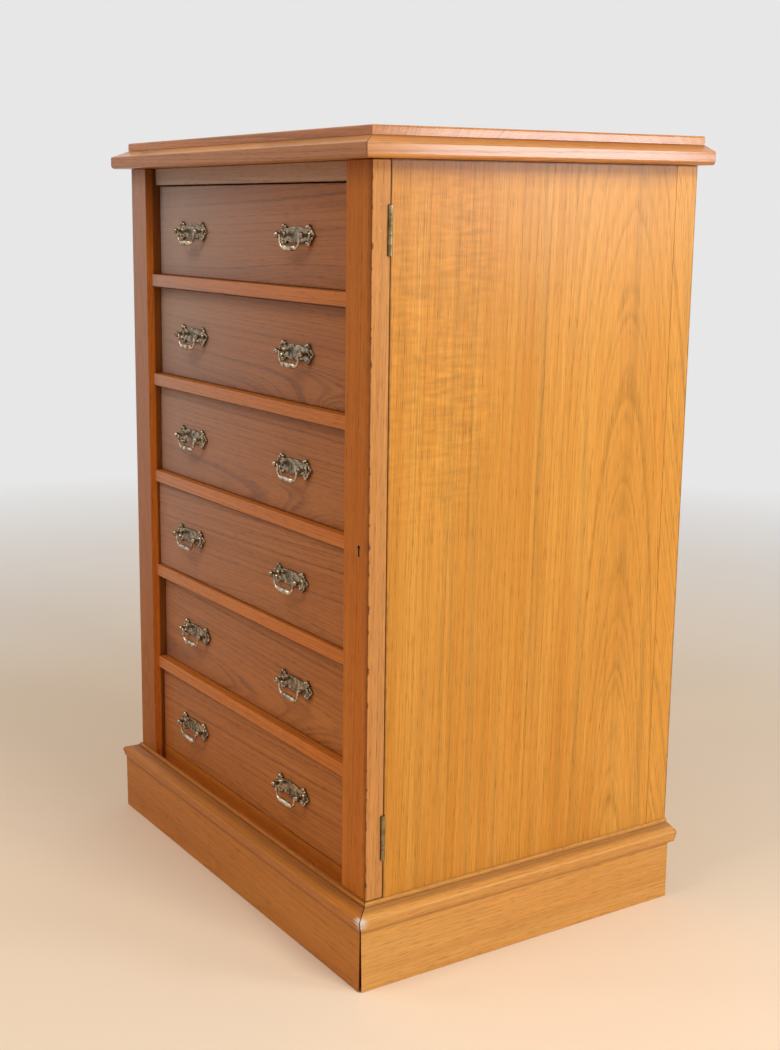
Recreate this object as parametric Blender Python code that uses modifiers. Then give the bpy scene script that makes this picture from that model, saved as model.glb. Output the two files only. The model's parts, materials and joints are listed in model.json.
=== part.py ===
"""Wellington chest in ash: six drawers beside a hinged locking flap, on a moulded plinth.

Run it with blender --background --python part.py, or from the text editor. Metres, +Z up.
The front faces -Y, and the origin lies on the floor under the middle of the chest.
"""

import math

import bmesh
import bpy
from mathutils import Matrix, Vector

# Clearances
JOINT_GAP = 0.0003  # between fixed pieces that touch
FLAP_GAP = 0.0006  # round the flap
DRAWER_GAP = 0.0009  # round each drawer front in its opening
RUNNING_GAP = 0.0004  # under a drawer, and round the lock's bolt
PIN_CLEARANCE = 0.00035  # between a pin and the hole that it turns in

# Case
HEIGHT = 1.100
CASE_WIDTH = 0.686
CASE_DEPTH = 0.533
SIDE_THICKNESS = 0.020
BACK_THICKNESS = 0.010
BACK_INSET = 0.002  # the back panel sits this far inside the sides' back edges
FLOOR_CLEARANCE = 0.004  # the case hangs inside the plinth, just off the floor
PILASTER_WIDTH = 0.0515
FLAP_WIDTH = 0.058
FRONT_THICKNESS = 0.027  # of the pilaster and of the flap
STILE_DEPTH = 0.030  # of the fixed stile behind the flap
EDGE_ROUNDING = 0.0012

# Shelves between the drawers
DRAWER_COUNT = 6
DIVIDER_THICKNESS = 0.019
DIVIDER_SETBACK = 0.0085  # behind the front of the pilaster
RAIL_SETBACK = 0.0173  # top rail and bottom board
TOP_RAIL_HEIGHT = 0.0254
TOP_RAIL_DEPTH = 0.030
BOTTOM_THICKNESS = 0.030
BOTTOM_SHOW = 0.0098  # the bottom board's top stands this far above the plinth
LEDGE_THICKNESS = 0.010  # strip that closes the trough behind the plinth
LEDGE_LAP = 0.012  # how far the ledge runs under the bottom board
GUIDE_HEIGHT = 0.012  # drawer guides along both ends of a shelf
GUIDE_SINK = 0.005  # how far a guide is let into its shelf
GUIDE_INSET = 0.0005

# Top
SLAB_THICKNESS = 0.012
SLAB_OVERHANG = 0.0027
SLAB_ROUNDING = 0.0025
TOP_MOULDING_HEIGHT = 0.027
TOP_MOULDING_PROJECTION = 0.0238
TOP_MOULDING_FACE = 0.0185  # height of its outer face, up to the weathered slope
TOP_MOULDING_ROUNDING = 0.0075  # lower edge
TOP_MOULDING_ARRIS = 0.002  # upper edge
TOP_FRAME_WIDTH = 0.048  # the front moulding reaches this far back over the case
TOP_BACK_OVERHANG = 0.0085

# Plinth
PLINTH_HEIGHT = 0.113
PLINTH_PROJECTION = 0.0212
PLINTH_MOULDING_HEIGHT = 0.029  # from the plinth's top down to its plain face
PLINTH_NOSE = 0.0254  # projection of the moulding's nose
NOSE_DROP = 0.0145  # of the nose's middle below the plinth's top
NOSE_RADIUS = 0.0042
FILLET_WIDTH = 0.0043  # flat strip round the foot of the case
FILLET_HEIGHT = 0.0050
PLINTH_BACK_RELIEF = 0.013  # below the moulding the side boards stop short of the back
MITRE_GAP = 0.0006

# Drawers
DRAWER_SETBACKS = (0.024, 0.023, 0.020, 0.0145, 0.0225, 0.017)  # how far in each one stands
DRAWER_FRONT_THICKNESS = 0.020
DRAWER_BACK_ROOM = 0.0367  # behind the drawer that stands furthest in
DRAWER_SIDE_THICKNESS = 0.010
DRAWER_BOTTOM_THICKNESS = 0.008
DRAWER_BOX_DROP = 0.012  # the box's rim lies this far under the top of the front
DRAWER_BOX_INSET = 0.0006

# Handles
HANDLE_LEFT_INSET = 0.1165  # from the pilaster to the left handle's middle
HANDLE_RIGHT_INSET = 0.155  # from the flap to the right handle's middle
POST_SPACING = 0.065
PLATE_THICKNESS = 0.003
PLATE_HALF_WIDTH = 0.047
PLATE_HALF_HEIGHT = 0.0105
PLATE_WAIST = 0.0082
LOBE_RADIUS = 0.0034
PIVOT_STANDOFF = 0.0135  # from the drawer front to the bail's axis
BALL_RADIUS = 0.0042
POST_NECK_RADIUS = 0.0024
POST_COLLAR_RADIUS = 0.0046
POST_COLLAR_HEIGHT = 0.0022
BAIL_PIN_RADIUS = 0.0013
BAIL_ARM_RADIUS = 0.0017
GRIP_RADIUS = 0.0040
GRIP_LENGTH = 0.034
BAIL_DROP = 0.0168
BAIL_END_CLEARANCE = 0.0012  # between a bail's shoulder and its ball

# Flap hinges
HINGE_HEIGHT = 0.061
HINGE_INSET = 0.054  # from the flap's ends to the hinges
HINGE_OUTSET = 0.0010  # the axis stands this far outside the side's face
HINGE_BACKSET = 0.0015  # the axis lies this far in front of the joint's middle
KNUCKLE_RADIUS = 0.0030
KNUCKLE_COUNT = 5
HINGE_PIN_RADIUS = 0.0014
LEAF_WIDTH = 0.017
LEAF_THICKNESS = 0.0016

# Lock
LOCK_CASE_HEIGHT = 0.046
LOCK_CASE_WIDTH = 0.042
LOCK_CASE_THICKNESS = 0.010
LOCK_SETBACK = 0.0090  # from the flap's front to the lock case
BOLT_HEIGHT = 0.0100
BOLT_THICKNESS = 0.0046
BOLT_LENGTH = 0.030
BOLT_TRAVEL = 0.008
KEYHOLE_SETBACK = 0.0226  # from the flap's outer edge
KEYHOLE_RADIUS = 0.0027
KEYHOLE_SLOT = 0.0030
KEYHOLE_RISE = 0.0045  # round part above the lock's middle
KEYHOLE_DROP = 0.0080  # slot below the lock's middle

# Positions that follow from the sizes
HALF_WIDTH = CASE_WIDTH / 2
FRONT_Y = -(CASE_DEPTH + TOP_BACK_OVERHANG - PLINTH_NOSE) / 2
BACK_Y = FRONT_Y + CASE_DEPTH
FRAME_BACK_Y = FRONT_Y + FRONT_THICKNESS
SIDE_FRONT_Y = FRAME_BACK_Y + FLAP_GAP
STILE_BACK_Y = SIDE_FRONT_Y + STILE_DEPTH
PANEL_FRONT_Y = BACK_Y - BACK_INSET - BACK_THICKNESS
SIDE_INNER_X = HALF_WIDTH - SIDE_THICKNESS
PILASTER_INNER_X = PILASTER_WIDTH - HALF_WIDTH
FLAP_INNER_X = HALF_WIDTH - FLAP_WIDTH
SLAB_BOTTOM_Z = HEIGHT - SLAB_THICKNESS
CASE_TOP_Z = SLAB_BOTTOM_Z - TOP_MOULDING_HEIGHT
RAIL_BOTTOM_Z = CASE_TOP_Z - TOP_RAIL_HEIGHT
PLINTH_FACE_TOP_Z = PLINTH_HEIGHT - PLINTH_MOULDING_HEIGHT
NOSE_Z = PLINTH_HEIGHT - NOSE_DROP
BOTTOM_TOP_Z = PLINTH_HEIGHT + BOTTOM_SHOW
OPENING_HEIGHT = (
    RAIL_BOTTOM_Z - BOTTOM_TOP_Z - (DRAWER_COUNT - 1) * DIVIDER_THICKNESS
) / DRAWER_COUNT
DRAWER_PITCH = OPENING_HEIGHT + DIVIDER_THICKNESS
DRAWER_BOX_FRONT = DRAWER_FRONT_THICKNESS + JOINT_GAP
DRAWER_BOX_BACK = PANEL_FRONT_Y - FRONT_Y - max(DRAWER_SETBACKS) - DRAWER_BACK_ROOM
HANDLE_PLACES = {
    "left": PILASTER_INNER_X + HANDLE_LEFT_INSET,
    "right": FLAP_INNER_X - HANDLE_RIGHT_INSET,
}
LOCK_DIVIDER = DRAWER_COUNT // 2
LOCK_Z = RAIL_BOTTOM_Z - LOCK_DIVIDER * DRAWER_PITCH + DIVIDER_THICKNESS / 2
LOCK_Y = FRONT_Y + LOCK_SETBACK + LOCK_CASE_THICKNESS / 2
HINGE_X = HALF_WIDTH + HINGE_OUTSET
HINGE_Y = (FRAME_BACK_Y + SIDE_FRONT_Y) / 2 - HINGE_BACKSET
HINGE_HEIGHTS = {
    "upper": CASE_TOP_Z - HINGE_INSET - HINGE_HEIGHT / 2,
    "lower": PLINTH_HEIGHT + HINGE_INSET + HINGE_HEIGHT / 2,
}
OVERSIZE = 0.05  # how far a cutter runs past what it cuts
ARC_STEPS = 4


def clear_scene():
    """Removes every object of the scene."""
    for obj in list(bpy.data.objects):
        bpy.data.objects.remove(obj, do_unlink=True)


def new_collection(name):
    """A collection linked under the scene's own."""
    collection = bpy.data.collections.new(name)
    bpy.context.scene.collection.children.link(collection)
    return collection


def new_material(name, colour, roughness, metallic=0.0):
    """A Principled BSDF material."""
    material = bpy.data.materials.new(name)
    material.use_nodes = True
    shader = material.node_tree.nodes["Principled BSDF"]
    shader.inputs["Base Color"].default_value = (*colour, 1.0)
    shader.inputs["Roughness"].default_value = roughness
    shader.inputs["Metallic"].default_value = metallic
    return material


clear_scene()
PARTS = new_collection("wellington_chest")
CUTTERS = new_collection("cutters")
CASE_ASH = new_material("case_ash", (0.58, 0.30, 0.09), 0.35)
FRONT_ASH = new_material("front_ash", (0.34, 0.15, 0.065), 0.35)
LINING_WOOD = new_material("lining_wood", (0.62, 0.46, 0.27), 0.6)
HANDLE_BRASS = new_material("handle_brass", (0.32, 0.25, 0.15), 0.35, 1.0)
HINGE_BRASS = new_material("hinge_brass", (0.52, 0.41, 0.20), 0.4, 1.0)
LOCK_STEEL = new_material("lock_steel", (0.30, 0.28, 0.25), 0.45, 1.0)


def move_to(obj, collection):
    """Leaves the object in that collection only."""
    for other in list(obj.users_collection):
        other.objects.unlink(obj)
    collection.objects.link(obj)


def as_part(obj, name, material):
    """Names an object as a piece of the chest and gives it its material."""
    obj.name = name
    obj.data.materials.clear()
    obj.data.materials.append(material)
    move_to(obj, PARTS)
    return obj


def as_cutter(obj, name):
    """Names an object as a helper of a Boolean, kept out of renders."""
    obj.name = name
    obj.hide_render = True
    obj.display_type = "WIRE"
    move_to(obj, CUTTERS)
    return obj


def box(low, high):
    """A block between two corners, with its origin in its middle."""
    low, high = Vector(low), Vector(high)
    bpy.ops.mesh.primitive_cube_add(size=1.0, location=(low + high) / 2)
    obj = bpy.context.object
    obj.scale = high - low
    bpy.ops.object.transform_apply(location=False, rotation=False, scale=True)
    return obj


def cylinder(radius, length, centre, axis, sides=16):
    """A solid rod of that length along X, Y or Z."""
    turns = {"X": (0, math.pi / 2, 0), "Y": (math.pi / 2, 0, 0), "Z": (0, 0, 0)}
    bpy.ops.mesh.primitive_cylinder_add(
        vertices=sides, radius=radius, depth=length, location=centre, rotation=turns[axis]
    )
    return bpy.context.object


def as_mesh(obj):
    """Replaces an object by a plain mesh of what it evaluates to, with its caps welded."""
    graph = bpy.context.evaluated_depsgraph_get()
    mesh = bpy.data.meshes.new_from_object(obj.evaluated_get(graph))
    work = bmesh.new()
    work.from_mesh(mesh)
    bmesh.ops.remove_doubles(work, verts=work.verts, dist=1e-6)
    bmesh.ops.recalc_face_normals(work, faces=work.faces)
    work.to_mesh(mesh)
    work.free()
    mesh.set_sharp_from_angle(angle=math.radians(35))
    solid = bpy.data.objects.new(obj.name, mesh)
    solid.matrix_world = obj.matrix_world
    bpy.context.scene.collection.objects.link(solid)
    bpy.data.objects.remove(obj, do_unlink=True)
    return solid


def prism(outline, axis, low, high):
    """A flat outline extruded along X, Y or Z; its points are the other two coordinates in order."""
    curve = bpy.data.curves.new("outline", "CURVE")
    curve.dimensions = "2D"
    curve.fill_mode = "BOTH"
    curve.extrude = (high - low) / 2
    spline = curve.splines.new("POLY")
    spline.points.add(len(outline) - 1)
    for point, (u, v) in zip(spline.points, outline):
        point.co = (u, v, 0.0, 1.0)
    spline.use_cyclic_u = True
    obj = bpy.data.objects.new("prism", curve)
    bpy.context.scene.collection.objects.link(obj)
    middle = (low + high) / 2
    columns = {
        "X": ((0, 1, 0), (0, 0, 1), (1, 0, 0)),
        "Y": ((1, 0, 0), (0, 0, 1), (0, -1, 0)),
        "Z": ((1, 0, 0), (0, 1, 0), (0, 0, 1)),
    }[axis]
    turn = Matrix(columns).transposed().to_4x4()
    place = {"X": (middle, 0, 0), "Y": (0, middle, 0), "Z": (0, 0, middle)}[axis]
    obj.matrix_world = Matrix.Translation(place) @ turn
    bpy.context.view_layer.update()
    return as_mesh(obj)


def boolean(target, other, operation):
    """Adds a Boolean that cuts, joins or intersects a piece with a helper."""
    if other.name not in CUTTERS.objects:
        as_cutter(other, target.name + "_" + operation.lower())
    modifier = target.modifiers.new(other.name, "BOOLEAN")
    modifier.operation = operation
    modifier.object = other
    return target


def round_edges(obj, width, segments=2):
    """Adds a Bevel to all sharp edges."""
    modifier = obj.modifiers.new("rounding", "BEVEL")
    modifier.width = width
    modifier.segments = segments
    modifier.limit_method = "ANGLE"


def arc(centre, radius, first_degrees, last_degrees, steps=ARC_STEPS):
    """Points along a circular arc, ends included."""
    angles = [
        math.radians(first_degrees + (last_degrees - first_degrees) * i / steps)
        for i in range(steps + 1)
    ]
    return [(centre[0] + radius * math.cos(a), centre[1] + radius * math.sin(a)) for a in angles]


def opening_top(number):
    """Height of the top of a drawer's opening, counted from 1 at the top."""
    return RAIL_BOTTOM_Z - (number - 1) * DRAWER_PITCH


# Case: sides, pilaster, stile, back and shelves
def build_carcass():
    """The two sides, the left pilaster, the stile behind the flap, and the back."""
    top = CASE_TOP_Z - JOINT_GAP
    left = box((-HALF_WIDTH, SIDE_FRONT_Y, FLOOR_CLEARANCE), (-SIDE_INNER_X, BACK_Y, top))
    as_part(left, "side_left", CASE_ASH)
    right = box((SIDE_INNER_X, SIDE_FRONT_Y, FLOOR_CLEARANCE), (HALF_WIDTH, BACK_Y, top))
    as_part(right, "side_right", CASE_ASH)
    for height in HINGE_HEIGHTS.values():
        boolean(right, leaf_recess(height, SIDE_FRONT_Y, 1), "DIFFERENCE")
    pilaster = box(
        (-HALF_WIDTH, FRONT_Y, FLOOR_CLEARANCE), (PILASTER_INNER_X, FRAME_BACK_Y, top)
    )
    round_edges(as_part(pilaster, "left_pilaster", FRONT_ASH), EDGE_ROUNDING)
    build_stile(top)
    inner = SIDE_INNER_X - JOINT_GAP
    back = box(
        (-inner, PANEL_FRONT_Y, FLOOR_CLEARANCE),
        (inner, PANEL_FRONT_Y + BACK_THICKNESS, SLAB_BOTTOM_Z - JOINT_GAP),
    )
    as_part(back, "back_panel", LINING_WOOD)


def build_stile(top):
    """The fixed stile behind the flap, with a foot that fills the corner under the flap."""
    inner = SIDE_INNER_X - JOINT_GAP
    front = FRONT_Y + JOINT_GAP
    outline = [
        (FLAP_INNER_X, front),
        (HALF_WIDTH, front),
        (HALF_WIDTH, FRAME_BACK_Y),
        (inner, FRAME_BACK_Y),
        (inner, STILE_BACK_Y),
        (FLAP_INNER_X, STILE_BACK_Y),
    ]
    stile = as_part(prism(outline, "Z", FLOOR_CLEARANCE, top), "right_stile", CASE_ASH)
    room = box(
        (FLAP_INNER_X - OVERSIZE, FRONT_Y - OVERSIZE, PLINTH_HEIGHT - JOINT_GAP),
        (HALF_WIDTH + OVERSIZE, SIDE_FRONT_Y, CASE_TOP_Z + OVERSIZE),
    )
    boolean(stile, room, "DIFFERENCE")


def shelf(front_y, low_z, high_z):
    """A full-depth shelf that steps round the pilaster and the stile, with a drawer guide at each end."""
    tongue_left = PILASTER_INNER_X + JOINT_GAP
    tongue_right = FLAP_INNER_X - FLAP_GAP
    inner = SIDE_INNER_X - JOINT_GAP
    left_y = SIDE_FRONT_Y
    right_y = STILE_BACK_Y + JOINT_GAP
    back_y = PANEL_FRONT_Y - JOINT_GAP
    outline = [
        (tongue_left, front_y),
        (tongue_right, front_y),
        (tongue_right, right_y),
        (inner, right_y),
        (inner, back_y),
        (-inner, back_y),
        (-inner, left_y),
        (tongue_left, left_y),
    ]
    obj = prism(outline, "Z", low_z, high_z)
    guides = (
        (-inner + GUIDE_INSET, PILASTER_INNER_X, left_y),
        (FLAP_INNER_X, inner - GUIDE_INSET, right_y),
    )
    for x_low, x_high, y_low in guides:
        guide = box(
            (x_low, y_low + GUIDE_INSET, high_z - GUIDE_SINK),
            (x_high, back_y - GUIDE_INSET, high_z + GUIDE_HEIGHT),
        )
        boolean(obj, as_cutter(guide, "guide"), "UNION")
    return obj


def build_shelves():
    """The top rail, the dividers between the drawers and the bottom board."""
    rail_y = FRONT_Y + RAIL_SETBACK
    rail = box(
        (PILASTER_INNER_X + JOINT_GAP, rail_y, RAIL_BOTTOM_Z),
        (FLAP_INNER_X - FLAP_GAP, rail_y + TOP_RAIL_DEPTH, CASE_TOP_Z - JOINT_GAP),
    )
    as_part(rail, "top_rail", FRONT_ASH)
    for number in range(1, DRAWER_COUNT):
        top = opening_top(number + 1) + DIVIDER_THICKNESS
        divider = shelf(FRONT_Y + DIVIDER_SETBACK, top - DIVIDER_THICKNESS, top)
        as_part(divider, f"divider_{number}", FRONT_ASH)
        if number == LOCK_DIVIDER:
            boolean(divider, bolt_mortise(), "DIFFERENCE")
    bottom_z = BOTTOM_TOP_Z - BOTTOM_THICKNESS
    bottom = as_part(shelf(rail_y, bottom_z, BOTTOM_TOP_Z), "bottom_board", FRONT_ASH)
    ledge = box(
        (PILASTER_INNER_X + FLAP_GAP, FRONT_Y + JOINT_GAP, bottom_z - LEDGE_THICKNESS / 2),
        (FLAP_INNER_X - 2 * FLAP_GAP, rail_y + LEDGE_LAP, bottom_z + LEDGE_THICKNESS / 2),
    )
    boolean(bottom, as_cutter(ledge, "ledge"), "UNION")


# Top and plinth
def moulded_block(profile, back_y):
    """A block whose front, left and right edges carry one profile of (projection, height), mitred."""
    low_z, high_z = profile[0][1], profile[-1][1]
    side_on = [(FRONT_Y - out, z) for out, z in profile] + [(back_y, high_z), (back_y, low_z)]
    face_on = [(HALF_WIDTH + out, z) for out, z in profile]
    face_on += [(-x, z) for x, z in reversed(face_on)]
    block = prism(side_on, "X", -CASE_WIDTH, CASE_WIDTH)
    across = as_cutter(prism(face_on, "Y", -CASE_DEPTH, CASE_DEPTH), "face_on_profile")
    return boolean(block, across, "INTERSECT")


def build_top():
    """The slab, and under it the moulding round three sides of the case."""
    back_y = BACK_Y + TOP_BACK_OVERHANG
    radius = SLAB_ROUNDING
    slab_profile = [(SLAB_OVERHANG, SLAB_BOTTOM_Z + JOINT_GAP)]
    slab_profile += arc((SLAB_OVERHANG - radius, HEIGHT - radius), radius, 0, 90)
    as_part(moulded_block(slab_profile, back_y), "top_board", CASE_ASH)

    out = TOP_MOULDING_PROJECTION
    lower, upper = TOP_MOULDING_ROUNDING, TOP_MOULDING_ARRIS
    face_top = CASE_TOP_Z + TOP_MOULDING_FACE
    profile = arc((out - lower, CASE_TOP_Z + lower), lower, -90, 0)
    profile += arc((out - upper, face_top - upper), upper, 0, 75, 2)
    profile += [(SLAB_OVERHANG, SLAB_BOTTOM_Z)]
    moulding = as_part(moulded_block(profile, back_y), "top_moulding", CASE_ASH)
    well = box(
        (-SIDE_INNER_X, FRONT_Y + TOP_FRAME_WIDTH, CASE_TOP_Z - OVERSIZE),
        (SIDE_INNER_X, back_y + OVERSIZE, SLAB_BOTTOM_Z + OVERSIZE),
    )
    boolean(moulding, well, "DIFFERENCE")


def plinth_profile():
    """The plinth board's section as (distance out from the case, height), from the inner foot round."""
    fillet_z = PLINTH_HEIGHT - FILLET_HEIGHT
    nose = (PLINTH_NOSE - NOSE_RADIUS, NOSE_Z)
    cove_z = (PLINTH_FACE_TOP_Z + NOSE_Z) / 2
    return [
        (JOINT_GAP, 0.0),
        (PLINTH_PROJECTION, 0.0),
        (PLINTH_PROJECTION, PLINTH_FACE_TOP_Z),
        ((PLINTH_PROJECTION + PLINTH_NOSE) / 2, cove_z),
        *arc(nose, NOSE_RADIUS, -20, 75),
        (FILLET_WIDTH, fillet_z),
        (FILLET_WIDTH, PLINTH_HEIGHT - FILLET_HEIGHT / 4),
        (JOINT_GAP, PLINTH_HEIGHT),
    ]


def mitre_cutter(corner_x, toward_x, toward_y):
    """A block turned through 45 degrees that trims a board's end at a front corner."""
    size = 4 * PLINTH_HEIGHT
    bpy.ops.mesh.primitive_cube_add(size=size, rotation=(0, 0, math.pi / 4))
    cutter = bpy.context.object
    away = Vector((toward_x, toward_y, 0.0)).normalized() * (size - MITRE_GAP) / 2
    cutter.location = Vector((corner_x, FRONT_Y, PLINTH_HEIGHT / 2)) + away
    return as_cutter(cutter, "mitre")


def build_plinth():
    """Front and side boards of the plinth, with the moulding worked on them and mitred corners."""
    profile = plinth_profile()
    reach = HALF_WIDTH + OVERSIZE
    front = prism([(FRONT_Y - out, z) for out, z in profile], "X", -reach, reach)
    as_part(front, "plinth_front", CASE_ASH)
    for side, name in ((-1, "plinth_left"), (1, "plinth_right")):
        boolean(front, mitre_cutter(side * HALF_WIDTH, side, 1), "DIFFERENCE")
        outline = [(side * (HALF_WIDTH + out), z) for out, z in profile]
        board = prism(outline, "Y", FRONT_Y - OVERSIZE, BACK_Y)
        as_part(board, name, CASE_ASH)
        boolean(board, mitre_cutter(side * HALF_WIDTH, -side, -1), "DIFFERENCE")
        outer = side * (HALF_WIDTH + PLINTH_NOSE + OVERSIZE)
        inner = side * (HALF_WIDTH - OVERSIZE)
        relief = box(
            (min(outer, inner), BACK_Y - PLINTH_BACK_RELIEF, -OVERSIZE),
            (max(outer, inner), BACK_Y + OVERSIZE, PLINTH_FACE_TOP_Z),
        )
        boolean(board, relief, "DIFFERENCE")


# Flap, hinges and lock
def leaf_recess(middle_z, face_y, into):
    """A shallow recess for a hinge leaf in the face at face_y; into is +1 or -1 along Y."""
    deep = face_y + into * (LEAF_THICKNESS + JOINT_GAP)
    outside = face_y - into * OVERSIZE
    half = HINGE_HEIGHT / 2 + JOINT_GAP
    recess = box(
        (HALF_WIDTH - LEAF_WIDTH - JOINT_GAP, min(deep, outside), middle_z - half),
        (HALF_WIDTH + OVERSIZE, max(deep, outside), middle_z + half),
    )
    return as_cutter(recess, "leaf_recess")


def knuckle_room(middle_z):
    """The slot in the flap's back corner in which a hinge's knuckles turn."""
    clear = KNUCKLE_RADIUS + FLAP_GAP
    half = HINGE_HEIGHT / 2 + JOINT_GAP
    room = box(
        (HINGE_X - clear, HINGE_Y - clear, middle_z - half),
        (HALF_WIDTH + OVERSIZE, FRAME_BACK_Y + OVERSIZE, middle_z + half),
    )
    return as_cutter(room, "knuckle_room")


def build_flap():
    """The hinged flap, with its keyhole, its lock mortise and the recesses for its hinges."""
    flap = box(
        (FLAP_INNER_X, FRONT_Y, PLINTH_HEIGHT + FLAP_GAP),
        (HALF_WIDTH, FRAME_BACK_Y, CASE_TOP_Z - FLAP_GAP),
    )
    as_part(flap, "flap", FRONT_ASH)
    round_edges(flap, EDGE_ROUNDING)
    for height in HINGE_HEIGHTS.values():
        boolean(flap, leaf_recess(height, FRAME_BACK_Y, -1), "DIFFERENCE")
        boolean(flap, knuckle_room(height), "DIFFERENCE")
    half_height = LOCK_CASE_HEIGHT / 2 + JOINT_GAP
    half_thick = LOCK_CASE_THICKNESS / 2 + JOINT_GAP
    mortise = box(
        (FLAP_INNER_X - OVERSIZE, LOCK_Y - half_thick, LOCK_Z - half_height),
        (FLAP_INNER_X + LOCK_CASE_WIDTH + JOINT_GAP, LOCK_Y + half_thick, LOCK_Z + half_height),
    )
    boolean(flap, mortise, "DIFFERENCE")
    boolean(flap, keyhole(), "DIFFERENCE")


def keyhole():
    """A keyhole's outline, run from in front of the flap to the middle of the lock."""
    x = HALF_WIDTH - KEYHOLE_SETBACK
    slot = KEYHOLE_SLOT / 2
    open_angle = math.degrees(math.asin(slot / KEYHOLE_RADIUS))
    centre = (x, LOCK_Z + KEYHOLE_RISE)
    outline = arc(centre, KEYHOLE_RADIUS, -90 + open_angle, 270 - open_angle, 3 * ARC_STEPS)
    outline += [(x - slot, LOCK_Z - KEYHOLE_DROP), (x + slot, LOCK_Z - KEYHOLE_DROP)]
    return as_cutter(prism(outline, "Y", FRONT_Y - OVERSIZE, LOCK_Y), "keyhole")


def bolt_channel(low_x, high_x):
    """A block round the bolt with running clearance, between two places along X."""
    half_thick = BOLT_THICKNESS / 2 + RUNNING_GAP
    half_height = BOLT_HEIGHT / 2 + RUNNING_GAP
    return box(
        (low_x, LOCK_Y - half_thick, LOCK_Z - half_height),
        (high_x, LOCK_Y + half_thick, LOCK_Z + half_height),
    )


def bolt_mortise():
    """The mortise in the divider's end that the bolt shoots into."""
    deep = FLAP_INNER_X - FLAP_GAP - BOLT_TRAVEL - RUNNING_GAP
    return as_cutter(bolt_channel(deep, FLAP_INNER_X), "bolt_mortise")


def build_lock():
    """The lock's case, let into the flap's inner edge, and its sliding bolt."""
    half_height = LOCK_CASE_HEIGHT / 2
    half_thick = LOCK_CASE_THICKNESS / 2
    case = box(
        (FLAP_INNER_X, LOCK_Y - half_thick, LOCK_Z - half_height),
        (FLAP_INNER_X + LOCK_CASE_WIDTH, LOCK_Y + half_thick, LOCK_Z + half_height),
    )
    as_part(case, "lock_case", LOCK_STEEL)
    bolt_end = FLAP_INNER_X + JOINT_GAP + BOLT_LENGTH
    channel = bolt_channel(FLAP_INNER_X - OVERSIZE, bolt_end + RUNNING_GAP)
    boolean(case, channel, "DIFFERENCE")
    boolean(case, keyhole(), "DIFFERENCE")
    bolt = box(
        (FLAP_INNER_X + JOINT_GAP, LOCK_Y - BOLT_THICKNESS / 2, LOCK_Z - BOLT_HEIGHT / 2),
        (bolt_end, LOCK_Y + BOLT_THICKNESS / 2, LOCK_Z + BOLT_HEIGHT / 2),
    )
    as_part(bolt, "lock_bolt", LOCK_STEEL)


def hinge_leaf(middle_z, face_y, into, first_knuckle):
    """A leaf with every second knuckle: a plate let into the face at face_y, and rolled ends on the axis."""
    plate_x = HINGE_X - KNUCKLE_RADIUS - FLAP_GAP
    low_y, high_y = sorted((face_y, face_y + into * LEAF_THICKNESS))
    low_z = middle_z - HINGE_HEIGHT / 2
    leaf = box(
        (HALF_WIDTH - LEAF_WIDTH, low_y, low_z), (plate_x, high_y, low_z + HINGE_HEIGHT)
    )
    pitch = HINGE_HEIGHT / KNUCKLE_COUNT
    for index in range(first_knuckle, KNUCKLE_COUNT, 2):
        low = low_z + index * pitch + (JOINT_GAP / 2 if index else 0)
        high = low_z + (index + 1) * pitch - (JOINT_GAP / 2 if index < KNUCKLE_COUNT - 1 else 0)
        middle = (low + high) / 2
        tab = box((plate_x - FLAP_GAP, low_y, low), (HINGE_X, high_y, high))
        boolean(leaf, as_cutter(tab, "tab"), "UNION")
        barrel = cylinder(KNUCKLE_RADIUS, high - low, (HINGE_X, HINGE_Y, middle), "Z")
        boolean(leaf, as_cutter(barrel, "barrel"), "UNION")
    return leaf


def build_hinges():
    """Two butt hinges: the fixed leaves hold the pins, and the flap's leaves turn on them."""
    for name, height in HINGE_HEIGHTS.items():
        centre = (HINGE_X, HINGE_Y, height)
        fixed = hinge_leaf(height, SIDE_FRONT_Y, 1, 0)
        as_part(fixed, f"{name}_hinge_fixed_leaf", HINGE_BRASS)
        pin = cylinder(HINGE_PIN_RADIUS, HINGE_HEIGHT - JOINT_GAP, centre, "Z", 12)
        boolean(fixed, as_cutter(pin, "pin"), "UNION")
        moving = hinge_leaf(height, FRAME_BACK_Y, -1, 1)
        as_part(moving, f"{name}_hinge_flap_leaf", HINGE_BRASS)
        bore = cylinder(HINGE_PIN_RADIUS + PIN_CLEARANCE, HINGE_HEIGHT + OVERSIZE, centre, "Z", 12)
        boolean(moving, as_cutter(bore, "bore"), "DIFFERENCE")


# Drawers and their handles
def drawer_front_mesh():
    """A drawer's front, with its origin at the middle of its face."""
    half_width = (FLAP_INNER_X - PILASTER_INNER_X) / 2 - DRAWER_GAP
    half_height = OPENING_HEIGHT / 2
    front = box(
        (-half_width, 0.0, RUNNING_GAP - half_height),
        (half_width, DRAWER_FRONT_THICKNESS, half_height - DRAWER_GAP),
    )
    round_edges(front, EDGE_ROUNDING / 2)
    return taken_mesh(front, "drawer_front")


def drawer_box_mesh():
    """A drawer's sides, back and bottom in one, open at the top and against the front."""
    half_width = (FLAP_INNER_X - PILASTER_INNER_X) / 2 - DRAWER_GAP - DRAWER_BOX_INSET
    low_z = RUNNING_GAP - OPENING_HEIGHT / 2
    high_z = OPENING_HEIGHT / 2 - DRAWER_GAP - DRAWER_BOX_DROP
    tray = box((-half_width, DRAWER_BOX_FRONT, low_z), (half_width, DRAWER_BOX_BACK, high_z))
    inside = half_width - DRAWER_SIDE_THICKNESS
    hollow = box(
        (-inside, DRAWER_BOX_FRONT - OVERSIZE, low_z + DRAWER_BOTTOM_THICKNESS),
        (inside, DRAWER_BOX_BACK - DRAWER_SIDE_THICKNESS, high_z + OVERSIZE),
    )
    boolean(tray, hollow, "DIFFERENCE")
    return taken_mesh(tray, "drawer_box")


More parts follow.
